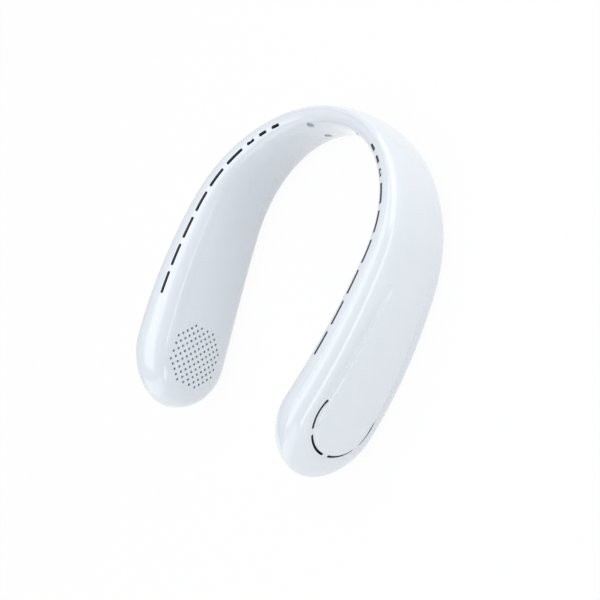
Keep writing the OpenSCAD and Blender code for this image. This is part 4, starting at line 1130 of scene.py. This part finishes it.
class NECKFAN_OT_outer_housing(bpy.types.Operator):
    """Build the outer half with the tongues' relief, the arc inlets and the controls' openings"""

    bl_idname = "neck_fan.outer_housing"
    bl_label = "Outer housing"
    bl_options = {"REGISTER", "UNDO"}

    def execute(self, context):
        form = current_form()
        openings, parts = form.openings, form.parts
        half = ShellHalf(form, OUTSIDE)
        piece = half.build("outer_housing")
        solids = Solids()
        radius = openings.relief_radius + openings.inlet_offset
        for side in SIDES.values():
            tongue = form.frame_at(form.relief_station, side, OUTSIDE, 0, -openings.relief_drop)
            for i in range(openings.inlets):
                middle = (i - (openings.inlets - 1) / 2) * openings.inlet_pitch + openings.inlet_turn
                start, end = middle - openings.inlet_span / 2, middle + openings.inlet_span / 2

                def inlet(growth, start=start, end=end):
                    return arc_slot(radius, openings.inlet_width + 2 * growth, start, end)

                drill(solids, half, tongue, inlet)
        button = button_frame(form)
        drill(solids, half, button, round_hole(parts.button_radius + parts.button_gap, sides=64))
        for place in light_places(parts):
            drill(solids, half, button, round_hole(parts.light_radius, middle=place, fineness=3))
        # The openings' eased lips keep the white gloss and their walls take the painted shade.
        cut(piece, solids.build("opening_cutter", slot_material("shell_white"), opening_painted_shade_material()))
        cut(piece, socket_cutter(form))
        cut(piece, table_cutter())
        smooth(piece)
        fit(piece, "housing", "shell_white", "outer_shell")
        return {"FINISHED"}


class NECKFAN_OT_neck_housing(bpy.types.Operator):
    """Build the neck side's half with the outlet slots, the grilles' windows and the plugs' holes"""

    bl_idname = "neck_fan.neck_housing"
    bl_label = "Neck side housing"
    bl_options = {"REGISTER", "UNDO"}

    def execute(self, context):
        form = current_form()
        half = ShellHalf(form, NECK_SIDE)
        piece = half.build("neck_side_housing")
        cut(piece, slot_cutter(form))
        for side in SIDES.values():
            cut(piece, grille_plug(form, side, form.openings.grille_radius, "window_cutter"))
        solids = Solids()
        hole = round_hole(form.parts.plug_radius + form.parts.plug_gap, sides=40)
        for matrix in plug_frames(form):
            drill(solids, half, matrix, hole)
        cut(piece, solids.build("plug_cutter", slot_material("shell_white")))
        cut(piece, socket_cutter(form))
        cut(piece, table_cutter())
        smooth(piece)
        fit(piece, "housing", "shell_white", "inner_shell")
        return {"FINISHED"}


class NECKFAN_OT_grilles(bpy.types.Operator):
    """Build the two round inlet grilles with their fields of holes"""

    bl_idname = "neck_fan.grilles"
    bl_label = "Inlet grilles"
    bl_options = {"REGISTER", "UNDO"}

    def execute(self, context):
        form = current_form()
        openings = form.openings
        half = ShellHalf(form, NECK_SIDE)
        insert_radius = openings.grille_radius - openings.grille_gap
        hole_radius = openings.grille_hole / 2
        for name, side in SIDES.items():
            piece = half.build(f"{name}_inlet_grille")
            cut(piece, grille_plug(form, side, insert_radius, "insert_cutter"), "INTERSECT")
            matrix = form.frame_at(form.half_len - openings.grille_setback, side, NECK_SIDE)
            solids = Solids()
            for place in grille_places(openings):
                drill(solids, half, matrix, round_hole(hole_radius, middle=place))
            cut(piece, solids.build("hole_cutter", slot_material("shell_white")))
            smooth(piece)
            fit(piece, "housing", "shell_white", f"{name}_grille")
        return {"FINISHED"}


class NECKFAN_OT_button(bpy.types.Operator):
    """Build the power button with its rounded edge and dished face"""

    bl_idname = "neck_fan.button"
    bl_label = "Power button"
    bl_options = {"REGISTER", "UNDO"}

    def execute(self, context):
        form = current_form()
        parts = form.parts
        matrix = button_frame(form)
        face = land(ShellHalf(form, OUTSIDE).tree, matrix, [(0, 0)])[0] + parts.button_proud
        flange = parts.button_radius + parts.flange_wide
        shelf = parts.flange_place + parts.flange_thick
        edge = parts.button_round
        rim = parts.button_radius - edge
        profile = [
            (parts.stem_radius, parts.stem_place),
            (parts.stem_radius, parts.flange_place),
            (flange, parts.flange_place),
            (flange, shelf),
            (parts.button_radius, shelf),
        ]
        for turned in np.linspace(0, math.pi / 2, 7):
            profile.append((rim + edge * math.cos(turned), face - edge * (1 - math.sin(turned))))
        dish = rim - edge / 2
        for inward in np.linspace(0, 1, 12)[:-1]:
            sunk = parts.button_dish * (1 - (1 - inward) ** 2) ** 2
            profile.append((dish * (1 - inward), face - sunk))
        solids = Solids()
        lathe(solids, matrix, profile, sides=96)
        piece = solids.build("power_button_cap", slot_material("shell_white"))
        smooth(piece)
        fit(piece, "power_button", "shell_white", "power_button")
        return {"FINISHED"}


class NECKFAN_OT_lights(bpy.types.Operator):
    """Build the light guide: its windows, the bar behind them and its legs"""

    bl_idname = "neck_fan.lights"
    bl_label = "Indicator lights"
    bl_options = {"REGISTER", "UNDO"}

    def execute(self, context):
        form = current_form()
        parts = form.parts
        matrix = button_frame(form)
        tree = ShellHalf(form, OUTSIDE).tree
        places = light_places(parts)
        low_side = [(x, -parts.guide_height / 2) for x, _ in places]
        bar_top = land(tree, matrix, low_side).min() - form.sizes.wall - 2 * parts.seat_gap
        bar_bottom = bar_top - parts.guide_thick
        radius = parts.light_radius
        solids = Solids()
        for place in places:
            side = circle(radius, middle=place)
            face = circle(radius - radius / 5, middle=place)
            root = placed(matrix, side, bar_top - parts.guide_thick / 2)
            shoulder = placed(matrix, side, land(tree, matrix, side) - radius / 4)
            solids.loft([root, shoulder, placed(matrix, face, land(tree, matrix, face))])
        near, far = places[0][0], places[-1][0]
        bar = stadium(near - far + parts.guide_height, parts.guide_height) + [(near + far) / 2, 0]
        prism(solids, matrix, bar, (bar_bottom, bar_top))
        for place in (places[0], places[-1]):
            leg = circle(radius, middle=place)
            prism(solids, matrix, leg, (parts.board_thick / 2, bar_bottom))
        piece = solids.build("light_windows", slot_material("light_guide"))
        smooth(piece)
        fit(piece, "housing", "light_guide", "light_guide")
        return {"FINISHED"}


class NECKFAN_OT_socket(bpy.types.Operator):
    """Build the charging socket with its rolled sheet, its tongue and its contacts"""

    bl_idname = "neck_fan.socket"
    bl_label = "Charging socket"
    bl_options = {"REGISTER", "UNDO"}

    def execute(self, context):
        form = current_form()
        parts = form.parts
        matrix = socket_frame(form)
        sheet = parts.socket_sheet
        eased = sheet / 4
        outer = [(0, parts.socket_len), (0, eased), (eased, 0)]
        inner = [(sheet - eased, 0), (sheet, eased), (sheet, parts.socket_len - 2 * sheet)]
        solids = Solids()
        round_ended(solids, matrix, parts.socket_width, parts.socket_thick, outer + inner)
        shell = solids.build("socket_shell", slot_material("steel"))
        smooth(shell)
        fit(shell, "housing", "steel", "usb_socket")
        self.add_tongue(parts, matrix)
        return {"FINISHED"}

    def add_tongue(self, parts, matrix):
        """The dark tongue and the contacts on both of its faces."""
        root = parts.socket_len - 2 * parts.socket_sheet
        tip = 2 * parts.socket_sheet
        eased = parts.tongue_thick / 4
        profile = ((0, root), (0, tip + eased), (eased, tip))
        solids = Solids()
        round_ended(solids, matrix, parts.tongue_width, parts.tongue_thick, profile)
        tongue = solids.build("socket_tongue", slot_material("fan_housing_grey"))
        smooth(tongue)
        fit(tongue, "housing", "fan_housing_grey")
        pitch = (parts.tongue_width - parts.tongue_thick) / parts.contacts
        wide = pitch / 4
        high = wide / 4
        contacts = Solids()
        for i in range(parts.contacts):
            x = (i + 0.5 - parts.contacts / 2) * pitch
            for way in (-1, 1):
                y = way * parts.tongue_thick / 2
                outline = rectangle((x - wide, y - high), (x + wide, y + high))
                prism(contacts, matrix, outline, (tip + 2 * eased, root))
        piece = contacts.build("socket_contacts", contact_material())
        fit(piece, "housing", "bronze")


class NECKFAN_OT_plugs(bpy.types.Operator):
    """Build the plugs over the band screws"""

    bl_idname = "neck_fan.plugs"
    bl_label = "Screw plugs"
    bl_options = {"REGISTER", "UNDO"}

    def execute(self, context):
        form = current_form()
        parts = form.parts
        tree = ShellHalf(form, NECK_SIDE).tree
        solids = Solids()
        radius = parts.plug_radius
        eased = radius / 10
        rim = radius - eased
        flat = rim * 0.9
        dish_shares = (0.25, 0.5, 0.75, 0.95)
        for matrix in plug_frames(form):
            face = land(tree, matrix, [(0, 0)])[0] - parts.plug_depth
            back = face - parts.plug_thick
            profile = [(rim, back), (radius, back + eased)]
            profile += [(radius, face - eased), (rim, face), (flat, face)]
            for dished in dish_shares:
                sunk = eased * math.sin(dished * math.pi / 2)
                profile.append((rim * (1 - dished), face - sunk))
            lathe(solids, matrix, profile, sides=48)
        # The white plugs take a grey that paints the shade of their recesses.
        piece = solids.build("band_screw_plugs", plug_painted_shade_material())
        smooth(piece)
        fit(piece, "housing", "shell_white", "screw_plugs")
        return {"FINISHED"}


def floor_material(stage):
    """White floor: plain white to the camera and in reflections, with a share of its own shading."""
    material = bpy.data.materials.get("White floor")
    if material:
        return material
    material = bpy.data.materials.new("White floor")
    material.use_nodes = True
    tree = material.node_tree
    shader = tree.nodes["Principled BSDF"]
    shader.inputs["Roughness"].default_value = 0.9
    shader.inputs["Specular IOR Level"].default_value = 0.0
    glow = tree.nodes.new("ShaderNodeEmission")
    glow.inputs["Strength"].default_value = 1.0
    ways = tree.nodes.new("ShaderNodeLightPath").outputs
    darker = stage.floor_bounce - stage.floor_tone
    tone = math_node(tree, "MULTIPLY_ADD", ways["Is Diffuse Ray"], darker, stage.floor_tone)
    tree.links.new(tone, shader.inputs["Base Color"])
    seen = math_node(tree, "MAXIMUM", ways["Is Camera Ray"], ways["Is Glossy Ray"])
    seen = math_node(tree, "MAXIMUM", seen, ways["Is Transmission Ray"])
    mixed = tree.nodes.new("ShaderNodeMixShader")
    tree.links.new(math_node(tree, "MULTIPLY", seen, 1 - stage.shadow_share), mixed.inputs["Fac"])
    tree.links.new(shader.outputs["BSDF"], mixed.inputs[1])
    tree.links.new(glow.outputs["Emission"], mixed.inputs[2])
    tree.links.new(mixed.outputs["Shader"], tree.nodes["Material Output"].inputs["Surface"])
    return material


def add_lamp(name, place, size, power):
    """A rectangular softbox at a place, turned to the lamps' target."""
    light = bpy.data.lights.new(name, "AREA")
    light.shape = "RECTANGLE"
    light.size, light.size_y = size
    light.energy = power
    lamp = bpy.data.objects.new(name, light)
    lamp.location = place
    ray = Vector(LAMP_TARGET) - Vector(place)
    lamp.rotation_euler = ray.to_track_quat("-Z", "Y").to_euler()
    bpy.context.scene.collection.objects.link(lamp)


class NECKFAN_OT_stage(bpy.types.Operator):
    """Set up the white floor, the studio lights and the camera"""

    bl_idname = "neck_fan.stage"
    bl_label = "Stage"
    bl_options = {"REGISTER", "UNDO"}

    def execute(self, context):
        stage = context.scene.neck_fan.stage
        context.scene.view_settings.view_transform = "Standard"
        sides = 64
        outline = np.column_stack([circle(stage.floor_radius, sides), np.zeros(sides)])
        floor = new_object("white_floor", outline, [list(range(sides))], [floor_material(stage)])
        world = bpy.data.worlds.new("Pale room")
        world.use_nodes = True
        background = world.node_tree.nodes["Background"]
        background.inputs["Color"].default_value = (*stage.world_tint, 1)
        background.inputs["Strength"].default_value = stage.world_strength
        context.scene.world = world
        for name, place, size, power in LAMPS:
            add_lamp(name, place, size, getattr(stage, power))
        self.add_camera(context, stage)
        return {"FINISHED"}

    def add_camera(self, context, stage):
        """Camera placed in the housing's worn frame and carried over to the resting one."""
        form = current_form()
        sine, cosine = math.sin(stage.azimuth), math.cos(stage.azimuth)
        level = math.cos(stage.elevation)
        back = Vector((sine * level, -cosine * level, math.sin(stage.elevation)))
        across = Vector((cosine, sine, 0))
        up = back.cross(across)
        right = across * math.cos(stage.roll) + up * math.sin(stage.roll)
        top = up * math.cos(stage.roll) - across * math.sin(stage.roll)
        resting = Matrix(form.turn.tolist())
        place = Vector((stage.target_x, stage.target_y, stage.target_z)) + back * stage.distance
        axes = resting @ Matrix((right, top, back)).transposed()
        lens = bpy.data.cameras.new("Photo camera")
        lens.lens = stage.lens
        lens.sensor_width = 36
        lens.dof.use_dof = False
        camera = bpy.data.objects.new("Photo camera", lens)
        camera.matrix_world = Matrix.Translation(resting @ place + Vector(form.offset)) @ axes.to_4x4()
        context.scene.collection.objects.link(camera)
        context.scene.camera = camera


OPERATORS = (
    NECKFAN_OT_finishes,
    NECKFAN_OT_outer_housing,
    NECKFAN_OT_neck_housing,
    NECKFAN_OT_grilles,
    NECKFAN_OT_button,
    NECKFAN_OT_lights,
    NECKFAN_OT_socket,
    NECKFAN_OT_plugs,
    NECKFAN_OT_stage,
)


class NECKFAN_PT_sidebar(bpy.types.Panel):
    """Buttons that build the neck fan piece by piece"""

    bl_idname = "NECKFAN_PT_sidebar"
    bl_label = "Neck fan"
    bl_space_type = "VIEW_3D"
    bl_region_type = "UI"
    bl_category = "Neck fan"

    def draw(self, context):
        for operator in OPERATORS:
            self.layout.operator(operator.bl_idname)


GROUPS = (NeckFanHousing, NeckFanOpenings, NeckFanParts, NeckFanFinish, NeckFanStage, NeckFanSettings)


def register():
    """Registers the settings, the operators and the panel."""
    for item in (*GROUPS, *OPERATORS, NECKFAN_PT_sidebar):
        bpy.utils.register_class(item)
    bpy.types.Scene.neck_fan = PointerProperty(type=NeckFanSettings)


def unregister():
    """Removes what register added."""
    del bpy.types.Scene.neck_fan
    for item in reversed((*GROUPS, *OPERATORS, NECKFAN_PT_sidebar)):
        bpy.utils.unregister_class(item)


def main():
    """Builds the whole fan and its stage."""
    register()
    bpy.ops.neck_fan.finishes()
    bpy.ops.neck_fan.outer_housing()
    bpy.ops.neck_fan.neck_housing()
    bpy.ops.neck_fan.grilles()
    bpy.ops.neck_fan.button()
    bpy.ops.neck_fan.lights()
    bpy.ops.neck_fan.socket()
    bpy.ops.neck_fan.plugs()
    bpy.ops.neck_fan.stage()


if __name__ == "__main__":
    main()
